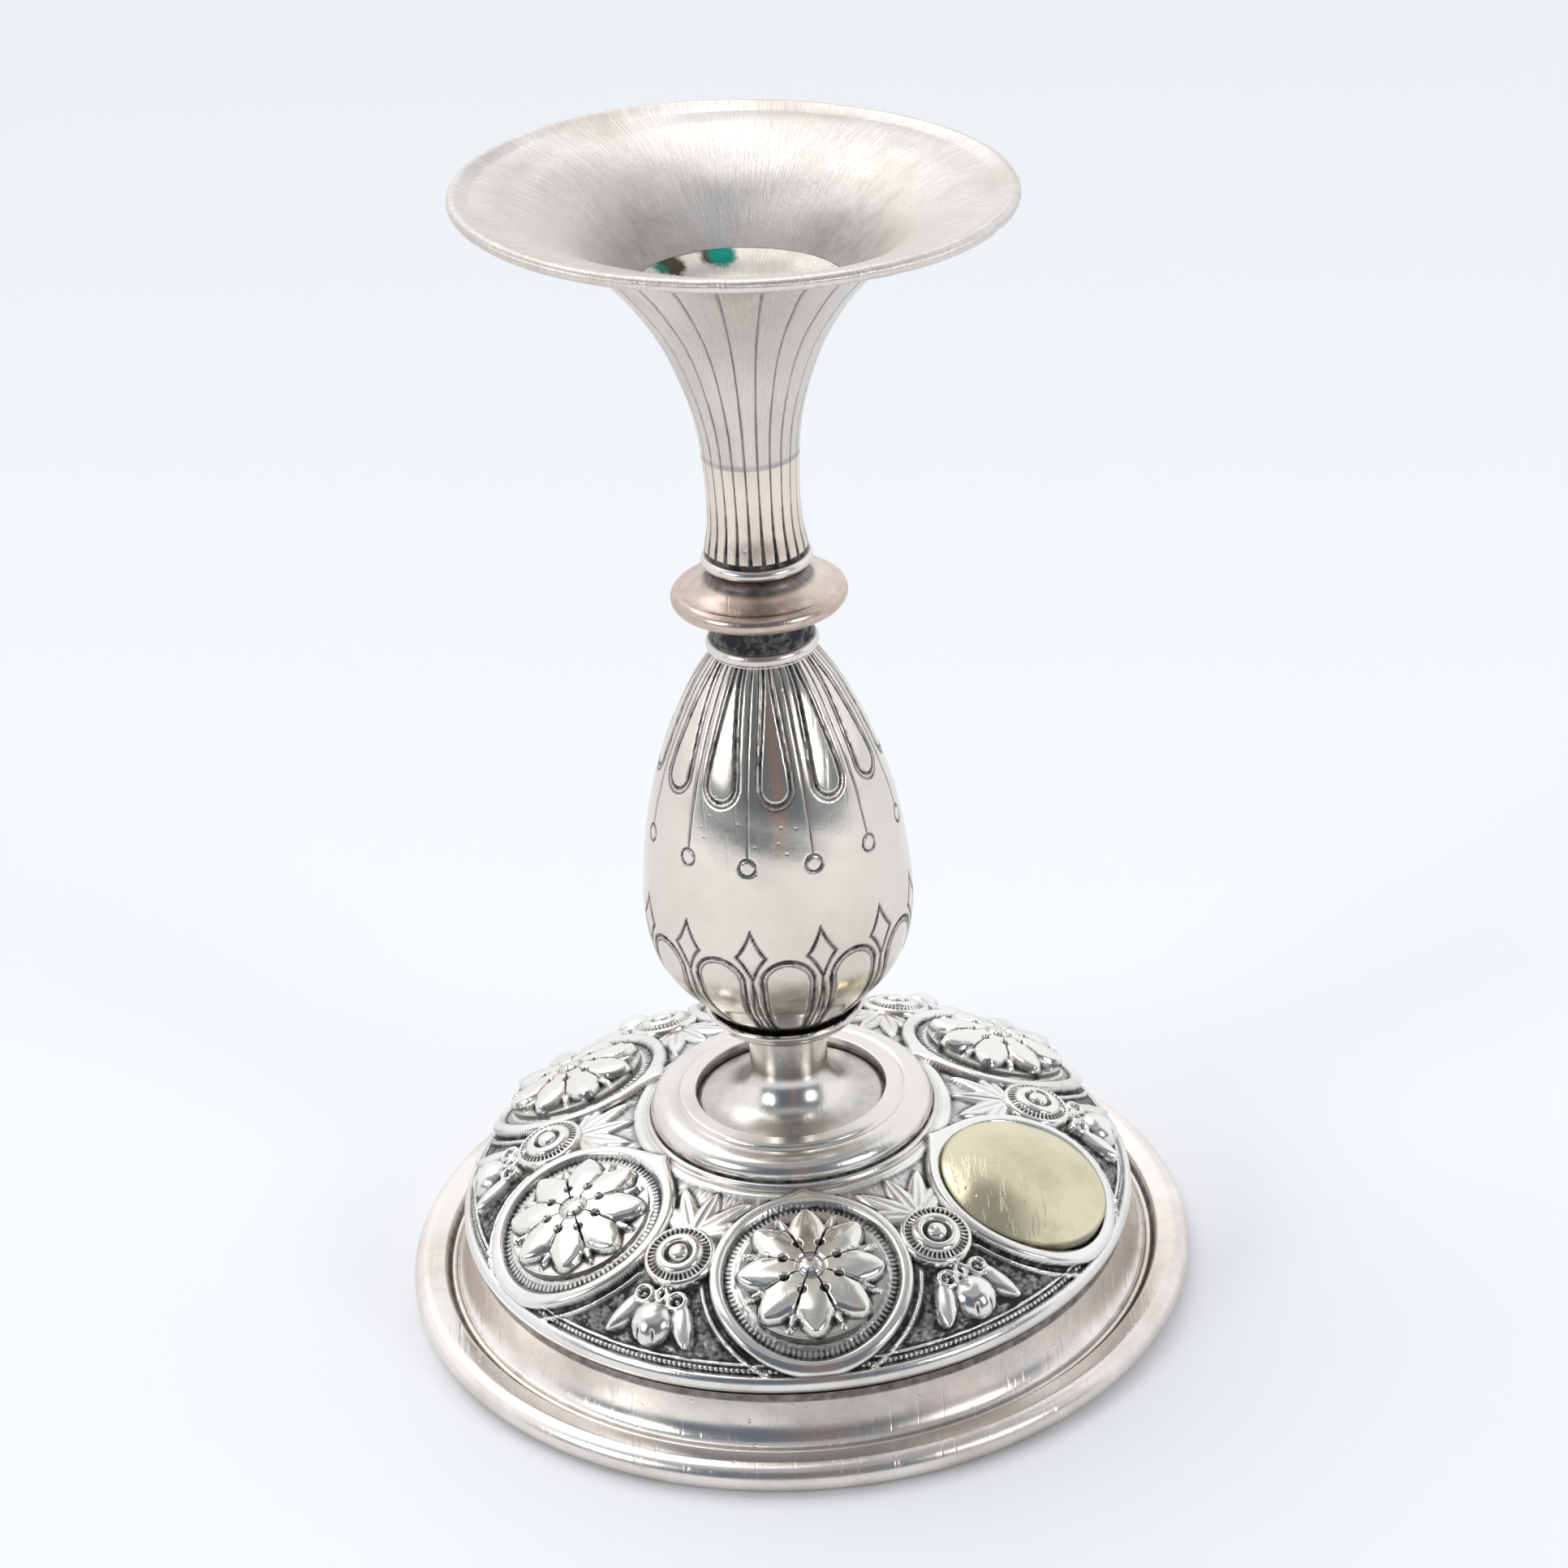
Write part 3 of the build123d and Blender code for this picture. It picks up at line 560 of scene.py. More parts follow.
    ring = np.hypot(mirrored - scroll_across, below - scroll_below)
    lift(bump_of(ring - 1.65, 0.72, 1.75) * lower * free)
    lift(bump_of(ring, 0.62, 1.5) * lower * free)
    stalk_bend = 1.1 * stripe(below - 8.6, 1.3)
    lift(bump_of(mirrored - stalk_bend, 0.95, 1.45) * lower * free * plateau(np.abs(below - 9.2), 2.4, 0.8))
    past_bud = below - bud_below
    bud = np.sqrt(np.clip(1 - (mirrored / 4.3) ** 2 - (past_bud / 4.6) ** 2, 0, 1))
    split = stripe(mirrored - 1.3 - 0.12 * past_bud, 0.24) * plateau(bud_below + 1.6 - below, 0, 1.0)
    lift(3.4 * bud * (1 - 0.40 * split) * lower * free)
    t = np.clip((below - scroll_below) / 9.0, 0, 1)
    side_middle = 4.9 + 3.4 * t**1.6
    side_half = 2.4 * np.sin(pi * t) ** 0.45 + 1e-6
    side_leaf = np.sqrt(np.clip(1 - ((mirrored - side_middle) / side_half) ** 2, 0, 1)) * (t > 0) * (t < 1)
    lift(2.3 * side_leaf * (0.6 + 0.4 * t) * lower * free)
    # Smooth rounded lip at the dome's edge.
    shape = shape * (1 - rim) + rim * bump_of(to_edge - 1.3, 1.75, 0.7)
    shade = shade * (1 - rim)
    shape = softened(shape, 1)
    cavity = softened(shape, 12) - shape
    shade = np.clip(shade + np.clip(cavity / 0.30, -0.25, 1) * 0.95, 0, 1)
    shade[: crown_rows + 2] = 0
    return x, y, z, out_r, out_z, swing, shape, shade


dome_silver = silver(
    "dome_silver",
    bright=(0.84, 0.82, 0.79),
    tarnish=(0.64, 0.60, 0.55),
    tarnish_span=(0.42, 0.75),
    polish=(0.13, 0.30),
    scratches=0.15,
    pits=0.15,
)
for number in range(sector_count):
    turn = first_turn + number * 2 * pi / sector_count
    x, y, z, out_r, out_z, swing, shape, shade = chased_face(turn, number == gilt_place)
    facing = turn + swing

    def moved(depth):
        """The sector's points, moved out of the dome's face by a depth."""
        return x + depth * out_r * np.cos(facing), y + depth * out_r * np.sin(facing), z + depth * out_z

    inner_x, inner_y, inner_z = (grid[::-inner_step] for grid in moved(-dome_wall))
    outer_x, outer_y, outer_z = moved(shape)
    sector = skin(
        f"dome_sector_{number + 1}",
        np.vstack([outer_x, inner_x]),
        np.vstack([outer_y, inner_y]),
        np.vstack([outer_z, inner_z - 0.02]),
        wrap=False,
        loop=True,
        recess=np.vstack([shade, np.full_like(shade[::-inner_step], 0.4)]),
        sharp=75,
    )
    finish_piece(sector, dome_silver, "dome")

# ---- Rosettes --------------------------------------------------------------------------------------
# Struck flowers soldered on the medallions: eight broad pointed petals over eight narrow ones, a ring of
# pierced pits, and a domed button in a groove. The tops are rubbed bright.
rosette_radius = 14.6
pit_reach, petal_tip, slim_tip_reach = 5.6, 14.4, 13.9
rosette_places = [place for place in range(sector_count) if place != gilt_place]
bed_depth, bed_shade = 2.0, 0.8


def disc_on_dome(name, radius, turn, reach, bearing, height, shade):
    """A round relief on the dome's tangent plane: a grid of rings by bearings at given heights, with a
    straight side and a flat underside."""
    centre, tangent, downhill, normal = dome_seat(radius, turn)
    two_rows = np.ones((2, reach.shape[1]))
    reach = np.vstack([reach, reach[-1:], 0.3 * reach[-1:]])
    bearing = np.vstack([bearing, bearing[-1:], bearing[-1:]])
    height = np.vstack([height, -bed_depth * two_rows])
    shade = np.vstack([shade, bed_shade * two_rows])
    u, v = reach * np.sin(bearing), reach * np.cos(bearing)
    points = centre + u[..., None] * tangent + v[..., None] * downhill + height[..., None] * normal
    return skin(name, points[..., 0], points[..., 1], points[..., 2], recess=shade, sharp=70)


def rings_of(start, radius, rings, columns):
    """Distances and bearings over a disc: even rings from a start to its radius, by even bearings."""
    reach = np.linspace(start, radius, rings)[:, None] * np.ones((1, columns))
    return reach, around(columns) * np.ones((rings, 1))


def rosette_relief():
    """Height and shade of a rosette over rings and bearings. Petals are leaf forms turned round the
    middle in steps of an eighth of a turn."""
    reach, bearing = rings_of(0.05, rosette_radius, 84, 272)
    eighth = pi / 4
    broad = (bearing + eighth / 2) % eighth - eighth / 2
    narrow = bearing % eighth - eighth / 2
    body = 0.9 + 2.5 * np.sqrt(np.clip(1 - (reach / 15.5) ** 2, 0, 1))
    share = np.abs(broad) / (eighth / 2)
    tip = np.clip((petal_tip - reach) / 4.8, 0, 1)
    width = 0.985 * tip**0.6 + 1e-6
    swell = np.clip((reach - 6.0) / 5.0, 0, 1)
    belly = np.sqrt(np.clip(1 - (share / width) ** 2, 0, 1))
    petal = np.where(share < width, body - swell * 1.6 * (1 - belly) - 0.2 * (1 - tip), 0)
    off = np.abs(narrow) * reach
    slim_tip = np.clip((slim_tip_reach - reach) / 4.5, 0, 1)
    slim_half = 1.3 * slim_tip**0.6 + 1e-6
    slim = np.sqrt(np.clip(1 - (off / slim_half) ** 2, 0, 1)) * (reach > 8.6) * (reach < slim_tip_reach)
    height = np.maximum(petal, 0.12)
    height = np.maximum(height, 0.12 + (0.95 * slim + 0.35) * (slim > 0))
    pit_off = np.hypot(reach * np.cos(narrow) - pit_reach, reach * np.sin(narrow))
    height -= 0.9 * plateau(pit_off, 0.85, 0.35)
    height -= 0.45 * plateau(np.abs(reach - 2.6), 0.34, 0.3)
    height += bump_of(reach, 2.0, 0.55)
    height = height * (1 - plateau(-reach, -(rosette_radius - 0.35), 0.4))
    seam = 14
    wrapped = softened(np.hstack([height[:, -seam:], height, height[:, :seam]]), 1)
    cavity = (softened(wrapped, seam) - wrapped)[:, seam:-seam]
    height = wrapped[:, seam:-seam]
    shade = np.clip(cavity / 0.34, 0, 1) * 0.95
    shade = np.maximum(shade, 0.9 * plateau(pit_off, 0.80, 0.3))
    shade = np.maximum(shade, 0.35 * (height < 0.3) * (reach > 7))
    return reach, bearing, height, shade


rosette_silver = silver(
    "rosette_silver",
    bright=(0.82, 0.80, 0.755),
    tarnish=(0.72, 0.655, 0.56),
    tarnish_span=(0.45, 0.8),
    polish=(0.10, 0.24),
    scratches=0.12,
    pits=0.12,
)
relief = rosette_relief()
for number, place in enumerate(rosette_places, start=1):
    turn = first_turn + place * 2 * pi / sector_count
    rosette = disc_on_dome(f"rosette_{number}_struck", medallion_radius, turn, *relief)
    finish_piece(rosette, rosette_silver, f"rosette_{number}")

# ---- Gilt plate ------------------------------------------------------------------------------------
# A plain domed plate in the sixth place, hammered by hand, with its thin gilding worn and scratched.
plate_radius, plate_edge, plate_crown = 17.1, -0.1, 2.9
plate_turn = first_turn + gilt_place * 2 * pi / sector_count
plate_reach, plate_bearing = rings_of(0.05, plate_radius, 70, 180)
plate_height = plate_edge + (plate_crown - plate_edge) * (1 - (plate_reach / plate_radius) ** 2)
plate_u, plate_v = plate_reach * np.sin(plate_bearing), plate_reach * np.cos(plate_bearing)
hammering = np.random.default_rng(5)
for _ in range(26):
    strike = hammering.uniform(-13, 13, 2)
    spread = hammering.uniform(2.2, 4.2)
    blow = np.exp(-((plate_u - strike[0]) ** 2 + (plate_v - strike[1]) ** 2) / spread**2)
    plate_height -= hammering.uniform(0.03, 0.12) * blow
plate_shade = 0.5 * plateau(-plate_reach, -(plate_radius - 0.3), 0.4)
gilding = silver(
    "worn_gilding",
    bright=(0.71, 0.655, 0.47),
    tarnish=(0.50, 0.46, 0.31),
    tarnish_span=(0.35, 0.7),
    polish=(0.12, 0.22),
    scratches=0.45,
    pits=0.3,
    grain=(1400.0, 90.0, 400.0),
)
gilt_plate = disc_on_dome(
    "gilt_plate_hammered", medallion_radius, plate_turn, plate_reach, plate_bearing, plate_height, plate_shade
)
finish_piece(gilt_plate, gilding, "gilt_plate")

# ---- Studs -----------------------------------------------------------------------------------------
# Cast bosses riveted between the medallions: a round rim, a ring of cut teeth, a raised ring and a
# domed button in a dark groove.
stud_radius = 7.1
stud_teeth = 38
teeth_reach, groove_reach = 5.45, 2.35
stud_reach, stud_bearing = rings_of(0.03, stud_radius, 64, 304)
tooth = 0.5 + 0.5 * np.cos(stud_bearing * stud_teeth)
tooth_band = plateau(np.abs(stud_reach - teeth_reach), 0.72, 0.25)
stud_height = 0.7 + 1.5 * np.clip(1 - (stud_reach / stud_radius) ** 2, 0, 1)
stud_height += bump_of(stud_reach - 6.55, 0.50, 0.35)
stud_height -= tooth_band * 0.55 * tooth
stud_height += bump_of(stud_reach - 3.75, 0.95, 0.55)
stud_height -= 0.55 * plateau(np.abs(stud_reach - groove_reach), 0.34, 0.3)
stud_height += bump_of(stud_reach, 1.9, 0.75)
stud_shade = tooth_band * tooth**0.7 * 0.95 + 0.95 * plateau(np.abs(stud_reach - groove_reach), 0.36, 0.3)
stud_shade = np.clip(stud_shade, 0, 1)
for number in range(sector_count):
    turn = first_turn + (number + 0.5) * 2 * pi / sector_count
    stud = disc_on_dome(
        f"stud_{number + 1}_cast", stud_place_radius, turn, stud_reach, stud_bearing, stud_height, stud_shade
    )
    finish_piece(stud, rosette_silver, f"stud_{number + 1}")

# ---- Crown moulding --------------------------------------------------------------------------------
# A turned ring that covers the joint of dome and stem: flat on top, with a rounded side over a low step.
crown_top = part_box("crown_ring")[1].z * 1000
crown_step_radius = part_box("crown_ring")[1].x * 1000
crown_side_radius = crown_step_radius - 1.1
crown_flat_radius, crown_inner_radius = 22.3, 19.25
crown_side_low = crown_top - 4.0

crown_profile = np.vstack(
    [
        line((crown_inner_radius, crown_top - 4.6), (crown_inner_radius, crown_top - 0.35), steps=10),
        arc((crown_inner_radius + 0.35, crown_top - 0.35), (0.35, 0.35), 180, 90, 6),
        line((crown_inner_radius + 0.5, crown_top), (crown_flat_radius, crown_top), steps=6),
        line(
            (crown_flat_radius + 0.15, crown_top - 0.1), (crown_flat_radius + 0.5, crown_top - 0.55), steps=3
        ),
        arc((24.6, crown_side_low + 0.1), (crown_side_radius - 24.6, 3.35), 112, 0, 36),
        line(
            (crown_side_radius, crown_side_low - 0.2),
            (crown_side_radius + 0.1, crown_side_low - 0.7),
            steps=4,
        ),
        arc((crown_side_radius + 0.2, crown_side_low - 1.5), (0.9, 0.8), 85, -10, 10),
        line(
            (crown_step_radius, crown_side_low - 2.0),
            (crown_step_radius - 0.2, crown_side_low - 4.0),
            steps=4,
        ),
        line((crown_inner_radius + 4, crown_side_low - 2.5), (crown_inner_radius, crown_top - 4.7), steps=4),
    ]
)
crown_out, crown_up = crown_profile.T
crown_shade = 0.95 * stripe(crown_out - crown_side_radius - 0.1, 0.3)
crown_shade *= (crown_up < crown_side_low) & (crown_up > crown_side_low - 1.0)
crown_shade += 0.3 * (crown_out < crown_inner_radius + 0.1) + 0.8 * (crown_up < crown_side_low - 2.3)
mirror_silver = silver(
    "stem_silver",
    bright=(0.77, 0.735, 0.69),
    tarnish=(0.57, 0.52, 0.47),
    tarnish_span=(0.42, 0.8),
    polish=(0.18, 0.32),
    scratches=0.15,
    pits=0.15,
)
crown = turned("crown_moulding", crown_profile, crown_shade, columns=256, seed=7, sharp=45)
finish_piece(crown, mirror_silver, "crown_ring")

# ---- Stem foot -------------------------------------------------------------------------------------
# Turned in one piece: a shallow dish inside the moulding, a polished flare, and the neck under the cup.
neck_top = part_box("bulb_cup")[0].z * 1000
dish_top = crown_top - 2.1
flare_radius, flare_height, neck_radius = 16.3, 8.6, 7.8
flare_top = dish_top + flare_height

stem_profile = np.vstack(
    [
        line(
            (3.4, dish_top - 6.5), (11.8, dish_top - 6.5), (11.8, dish_top - 3), (18.9, dish_top - 3), steps=4
        ),
        line((19.05, dish_top - 0.4), (18.4, dish_top), (flare_radius, dish_top), steps=5),
        arc((flare_radius, flare_top), (flare_radius - neck_radius, flare_height), 268, 182, 44),
        line((neck_radius, flare_top + 1), (neck_radius, neck_top - 2.2), steps=10),
        arc((neck_radius + 0.9, neck_top - 1.6), (0.9, 0.9), 180, 110, 6),
        line((neck_radius + 0.6, neck_top - 0.5), (neck_radius + 0.6, neck_top), (3.4, neck_top), steps=3),
    ]
)
stem_out, stem_up = stem_profile.T
stem_shade = 0.45 * (stem_out > 18.3) + 0.30 * np.clip((stem_out - 10.5) / 4, 0, 1)
stem_shade = stem_shade * (stem_up > dish_top - 1) + 0.5 * stripe(stem_up - neck_top + 1.9, 0.35)
stem = turned("stem_foot_turned", stem_profile, stem_shade, seed=9, sharp=45)
finish_piece(stem, mirror_silver, "stem_foot")

# ---- Cup under the bulb ----------------------------------------------------------------------------
# A thin spun cup whose rolled lip stands just clear of the bulb; painted shade darkens the gap between them.
cup_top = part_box("bulb_lower")[0].z * 1000
cup_lip_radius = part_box("bulb_cup")[1].x * 1000

cup_points = [(8.3, neck_top), (11.6, neck_top + 0.75), (14.4, neck_top + 2.0)]
cup_profile = np.vstack(
    [
        line((5.7, neck_top + 0.2), (8.2, neck_top), steps=4),
        smooth_line([*cup_points, (cup_lip_radius - 0.2, cup_top - 0.7)], 26),
        arc((cup_lip_radius - 0.65, cup_top - 0.45), (0.65, 0.6), -10, 170, 12),
        line((cup_lip_radius - 1.5, cup_top - 0.9), (10, neck_top + 2.6), (5.7, neck_top + 2.2), steps=6),
    ]
)
# Painted shade: the cup's inside and the wall below its lip, seen through the gap, are near black.
cup_shade = 0.98 * (cup_profile[:, 0] < cup_lip_radius - 1.2) * (cup_profile[:, 1] > neck_top + 1.9)
cup = turned("bulb_cup_spun", cup_profile, cup_shade, seed=11, sharp=60)
finish_piece(cup, mirror_silver, "bulb_cup")

# ---- Bulb ------------------------------------------------------------------------------------------
# An egg raised in two halves and engraved all round: long tongues and stems with a ring at their end
# hang from the top, and arches with diamonds between them stand at the bottom.
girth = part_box("bulb_lower")[1].z * 1000 - 3.0
egg_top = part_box("bulb_upper")[1].z * 1000
egg_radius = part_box("bulb_upper")[1].x * 1000
egg_columns = 504
tongue_count = 12
tongue_turn = first_turn
tongue_end, ring_height, ring_radius = 119.2, 104.6, 1.6
arch_centre, diamond_height = 79.8, 86.0
diamond_half_width, diamond_half_height = 3.0, 5.6
lower_outline = [(13.6, 0), (16.3, 2.4), (19.3, 5.8), (22.3, 9.3), (24.8, 13.8), (26.2, 19.5)]
lower_outline.append((egg_radius, 26.4))
upper_outline = [(egg_radius, 0), (25.8, 8), (24.6, 16), (22.7, 24), (20.1, 32), (16.6, 40)]
upper_outline += [(12.9, 46.9), (9.6, 51.4)]


def engraved(radius, height, angle):
    """Depth of the bulb's engraving: each line is a round-bottomed cut across the distance to its path,
    worked out in one repeat and mirrored about its middle."""
    pitch = 2 * pi / tongue_count
    turn = np.abs((angle - tongue_turn + pitch / 2) % pitch - pitch / 2)
    across = turn * radius
    from_stem = (pitch / 2 - turn) * radius
    cut = np.zeros_like(across)

    def stroke(distance, width, depth, keep):
        """Adds a cut of a width and a depth along a path, kept where a condition holds."""
        np.maximum(cut, depth * np.clip(1 - (distance / width) ** 2, 0, 1) * keep, out=cut)

    taper = np.clip((height - 121) / 16, 0, 1)
    inner = radians(8.0) * (1 - 0.60 * taper**1.3) * radius
    outer = radians(10.4) * (1 - 0.24 * taper) * radius
    for half, width, depth in ((inner, 0.40, 0.30), (outer, 0.30, 0.16)):
        from_end = np.hypot(across, height - tongue_end)
        path = np.abs(np.where(height >= tongue_end, across, from_end) - half)
        stroke(path, width, depth, height > 105)
    stroke(from_stem, 0.26, 0.20, height > ring_height + ring_radius)
    ring = np.abs(np.hypot(from_stem, height - ring_height) - ring_radius)
    stroke(ring, 0.30, 0.26, height < 110)
    fold = np.clip((arch_centre - height) / 17, 0, 1)
    for share, width, depth in ((11.3, 0.42, 0.34), (9.4, 0.28, 0.14)):
        half = radians(share) * (1 - 0.12 * fold) * radius
        from_arch = np.hypot(across, height - arch_centre)
        path = np.abs(np.where(height <= arch_centre, across, from_arch) - half)
        stroke(path, width, depth, height < 92)
    off_diamond = np.abs(height - diamond_height)
    lobe = (from_stem / diamond_half_width) ** 0.8 + (off_diamond / diamond_half_height) ** 0.8
    stroke(np.abs(lobe - 1) * 2.3, 0.36, 0.24, off_diamond < diamond_half_height + 0.4)
    spread = radians(2.3) * np.clip((81 - height) / 17, 0, 1) * radius
    stroke(from_stem - spread, 0.30, 0.22, height < 81.2)
    return cut


def bulb_half(name, outline, rows, low, closing):
    """One half of the bulb: its outline carried round the axis and cut by the engraving, and closed by a
    straight inner profile."""
    profile = smooth_line(outline, rows) + np.array([0, low])
    angle = around(egg_columns)
    radius, height = profile[:, :1], profile[:, 1:]
    cut = engraved(radius + 0 * angle, height + 0 * angle, angle + 0 * radius)
    full = radius - cut + dents(angle, height, 0.10, 21)
    inner = np.array(closing)
    full = np.vstack([full, np.repeat(inner[:, :1], egg_columns, axis=1)])
    tall = np.vstack([height + 0 * angle, np.repeat(inner[:, 1:], egg_columns, axis=1)])
    shade = np.vstack([np.clip(cut / 0.16, 0, 1) ** 0.8 * 0.92, np.zeros((len(inner), egg_columns))])
    return round_skin(name, full, tall, angle, recess=shade, sharp=60, loop=True)


bulb_silver = silver(
    "bulb_silver",
    bright=(0.77, 0.72, 0.65),
    tarnish=(0.65, 0.58, 0.50),
    tarnish_span=(0.45, 0.8),
    polish=(0.15, 0.27),
    scratches=0.18,
    pits=0.22,
)
lower_inner = [(egg_radius - 1.6, girth), (12.0, cup_top + 3.0), (3.5, cup_top + 2.4), (3.5, cup_top)]
lower_half = bulb_half("bulb_lower_raised", lower_outline, 104, cup_top, lower_inner)
finish_piece(lower_half, bulb_silver, "bulb_lower")
upper_inner = [(5.7, egg_top), (5.7, egg_top - 2), (8.0, egg_top - 3), (egg_radius - 1.5, girth)]
upper_half = bulb_half("bulb_upper_raised", upper_outline, 186, girth, upper_inner)
finish_piece(upper_half, bulb_silver, "bulb_upper")

# ---- Spool -----------------------------------------------------------------------------------------
# A turned collar between bulb and knop on a rounded lip, so polished that it mirrors the dark room; that
# dark reflection is also painted near black into it.
spool_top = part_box("knop")[0].z * 1000
spool_profile = np.vstack(
    [
        line((3.5, egg_top - 2.8), (5.4, egg_top - 2.8), (5.4, egg_top), (10.2, egg_top), steps=3),
        arc((9.7, egg_top + 1.4), (1.1, 1.35), -60, 62, 16),
        smooth_line(
            [(9.95, egg_top + 2.7), (9.75, egg_top + 4.6), (9.9, egg_top + 7.0), (10.5, spool_top)], 20
        ),
        line((10.4, spool_top + 0.02), (5.5, spool_top + 0.02), (3.5, spool_top + 0.02), steps=4),
    ]
)
spool_out, spool_up = spool_profile.T
spool_shade = 0.85 * stripe(spool_up - egg_top - 2.75, 0.3)
# Painted reflection: the body above the groove is near black, as the dark room it mirrors.
spool_shade = spool_shade + 0.97 * (spool_up > egg_top + 3.0) * (spool_out > 9)
spool = turned("spool_turned", spool_profile, spool_shade, seed=13, uneven=0.02)
finish_piece(spool, mirror_silver, "spool")

# ---- Knop ------------------------------------------------------------------------------------------
# A turned disc with a bright rounded edge; its sloping top is warm with tarnish, and the hollow waist
# above it carries painted shade, grey-black where no cloth reaches.
knop_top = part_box("neck_collar")[0].z * 1000
knop_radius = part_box("knop")[1].x * 1000
knop_edge = 1.8
shoulder_radius, shoulder_height, waist_radius = 10.9, 5.2, 9.9

knop_profile = np.vstack(
    [
        line((5.7, spool_top + 0.02), (knop_radius - knop_edge, spool_top + 0.02), steps=8),
        arc((knop_radius - knop_edge, spool_top + knop_edge), (knop_edge, knop_edge), -86, 80, 26),
        smooth_line(
            [
                (knop_radius - 2.0, spool_top + 2 * knop_edge - 0.12),
                (knop_radius - 3.6, spool_top + 2 * knop_edge + 0.25),
                (shoulder_radius, spool_top + shoulder_height),
            ],
            16,
        ),
        smooth_line(
            [
                (shoulder_radius - 0.3, spool_top + shoulder_height + 0.2),
                (waist_radius - 0.45, (spool_top + shoulder_height + knop_top) / 2),
                (waist_radius + 0.1, knop_top),
            ],
            12,
        ),
        line((9.0, knop_top + 0.02), (5.7, knop_top + 0.02), steps=3),
    ]
)
knop_out, knop_up = knop_profile.T
# Painted shade: the hollow waist above the shoulder is grey-black.
knop_shade = 0.72 * plateau(-knop_up, -(spool_top + shoulder_height + 0.2), 0.8) * (knop_out > 9.1)
knop_silver = silver(
    "knop_silver",
    bright=(0.76, 0.67, 0.60),
    tarnish=(0.50, 0.39, 0.33),
    tarnish_span=(0.30, 0.62),
    polish=(0.16, 0.36),
    scratches=0.2,
    pits=0.3,
)
knop = turned("knop_turned", knop_profile, knop_shade, columns=224, seed=15, uneven=0.05)
finish_piece(knop, knop_silver, "knop")

# ---- Neck collar -----------------------------------------------------------------------------------
# A polished half-round ring that hides the joint of knop and neck.
collar_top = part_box("neck_tube")[0].z * 1000
collar_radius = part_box("neck_collar")[1].x * 1000
collar_height = collar_top - knop_top
collar_profile = np.vstack(
    [
        line((7.7, knop_top + 0.03), (9.7, knop_top + 0.03), steps=4),
        arc((collar_radius - 1.15, knop_top + collar_height / 2), (1.15, collar_height / 2), -80, 80, 22),
        line((9.4, collar_top), (7.7, collar_top), steps=4),
    ]
)
collar_shade = 0.7 * plateau(-collar_profile[:, 1], -(collar_top - 0.15), 0.2)
collar = turned("neck_collar_turned", collar_profile, collar_shade, seed=17, uneven=0.02)
finish_piece(collar, mirror_silver, "neck_collar")

# ---- Fluted neck -----------------------------------------------------------------------------------
# A drawn tube with flat bands between cut flutes, which widen downward and end square above the collar.
# Warm with tarnish, and black in the wide ends of the flutes.
seam_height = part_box("neck_tube")[1].z * 1000
flute_count, neck_columns = 24, 480
flute_turn = radians(-90 + 7.5)
seam_radius = 9.15
flute_depth_at_black = 0.28


def fluted(radius, height, angle, low):
    """Depth of the flutes: a cut across the distance to the nearest flute line, narrow above and wider
    and deeper toward the low end, and a cut ring below the ends of the bands."""
    pitch = 2 * pi / flute_count
    turn = np.abs((angle - flute_turn + pitch / 2) % pitch - pitch / 2)
    across = turn * radius
    widening = np.clip((low + 17 - height) / 17, 0, 1) ** 2
    width = 0.20 + 0.30 * widening + 0.10 * np.clip((height - 195) / 20, 0, 1)
    cut = (0.22 + 0.26 * widening) * np.clip(1 - (across / width) ** 2, 0, 1) ** 0.7
    return np.maximum(cut, 0.42 * plateau(height - low, 0.85, 0.3))


neck_silver = silver(
    "neck_silver",
    bright=(0.80, 0.72, 0.63),
    tarnish=(0.60, 0.50, 0.42),
    tarnish_span=(0.36, 0.68),
    polish=(0.24, 0.40),
    scratches=0.2,
    pits=0.35,
    grain=(700.0, 700.0, 40.0),
)
neck_angle = around(neck_columns)
neck_outline = smooth_line(
    [
        (9.95, collar_top),
        (9.65, collar_top + 2.2),
        (9.05, collar_top + 5.5),
        (8.8, collar_top + 9.5),
        (8.85, collar_top + 14.5),
        (seam_radius, seam_height),
    ],
    70,
)
neck_cut = fluted(
    neck_outline[:, :1] + 0 * neck_angle, neck_outline[:, 1:] + 0 * neck_angle, neck_angle, collar_top
)
neck_inner = np.array([(7.6, seam_height), (7.6, collar_top)])
neck_heights = np.vstack([neck_outline[:, 1:], neck_inner[:, 1:]])
neck_shade = np.clip(neck_cut / flute_depth_at_black, 0, 1) ** 0.8 * 0.93
neck = round_skin(
    "neck_tube_fluted",
    np.vstack([neck_outline[:, :1] - neck_cut, np.repeat(neck_inner[:, :1], neck_columns, axis=1)]),
    np.repeat(neck_heights, neck_columns, axis=1),
    neck_angle,
    loop=True,
    recess=np.vstack([neck_shade, np.zeros((2, neck_columns))]),
    sharp=60,
)
finish_piece(neck, neck_silver, "neck_tube")

# ---- Trumpet dish ----------------------------------------------------------------------------------
# Spun from thick sheet to a wide flare with a rolled rim, soldered to the neck. The flutes run on under
# it; the inside is brushed outward and dulled, with painted shade on the left and right of its throat.
rim_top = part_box("trumpet_dish")[1].z * 1000
rim_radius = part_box("trumpet_dish")[1].x * 1000
rim_edge = 2.5
rim_lean = 0.040
dish_wall = 1.0
dish_columns, rim_steps = 384, 20
trumpet_outline = [
    (seam_radius, seam_height),
    (9.8, seam_height + 6.0),
    (12.25, seam_height + 15.2),
    (15.98, seam_height + 24.2),
    (22.1, seam_height + 33.2),
    (34.0, rim_top - 7.2),
    (43.0, rim_top - 3.15),
    (rim_radius - 0.8, rim_top - 1.9),
]


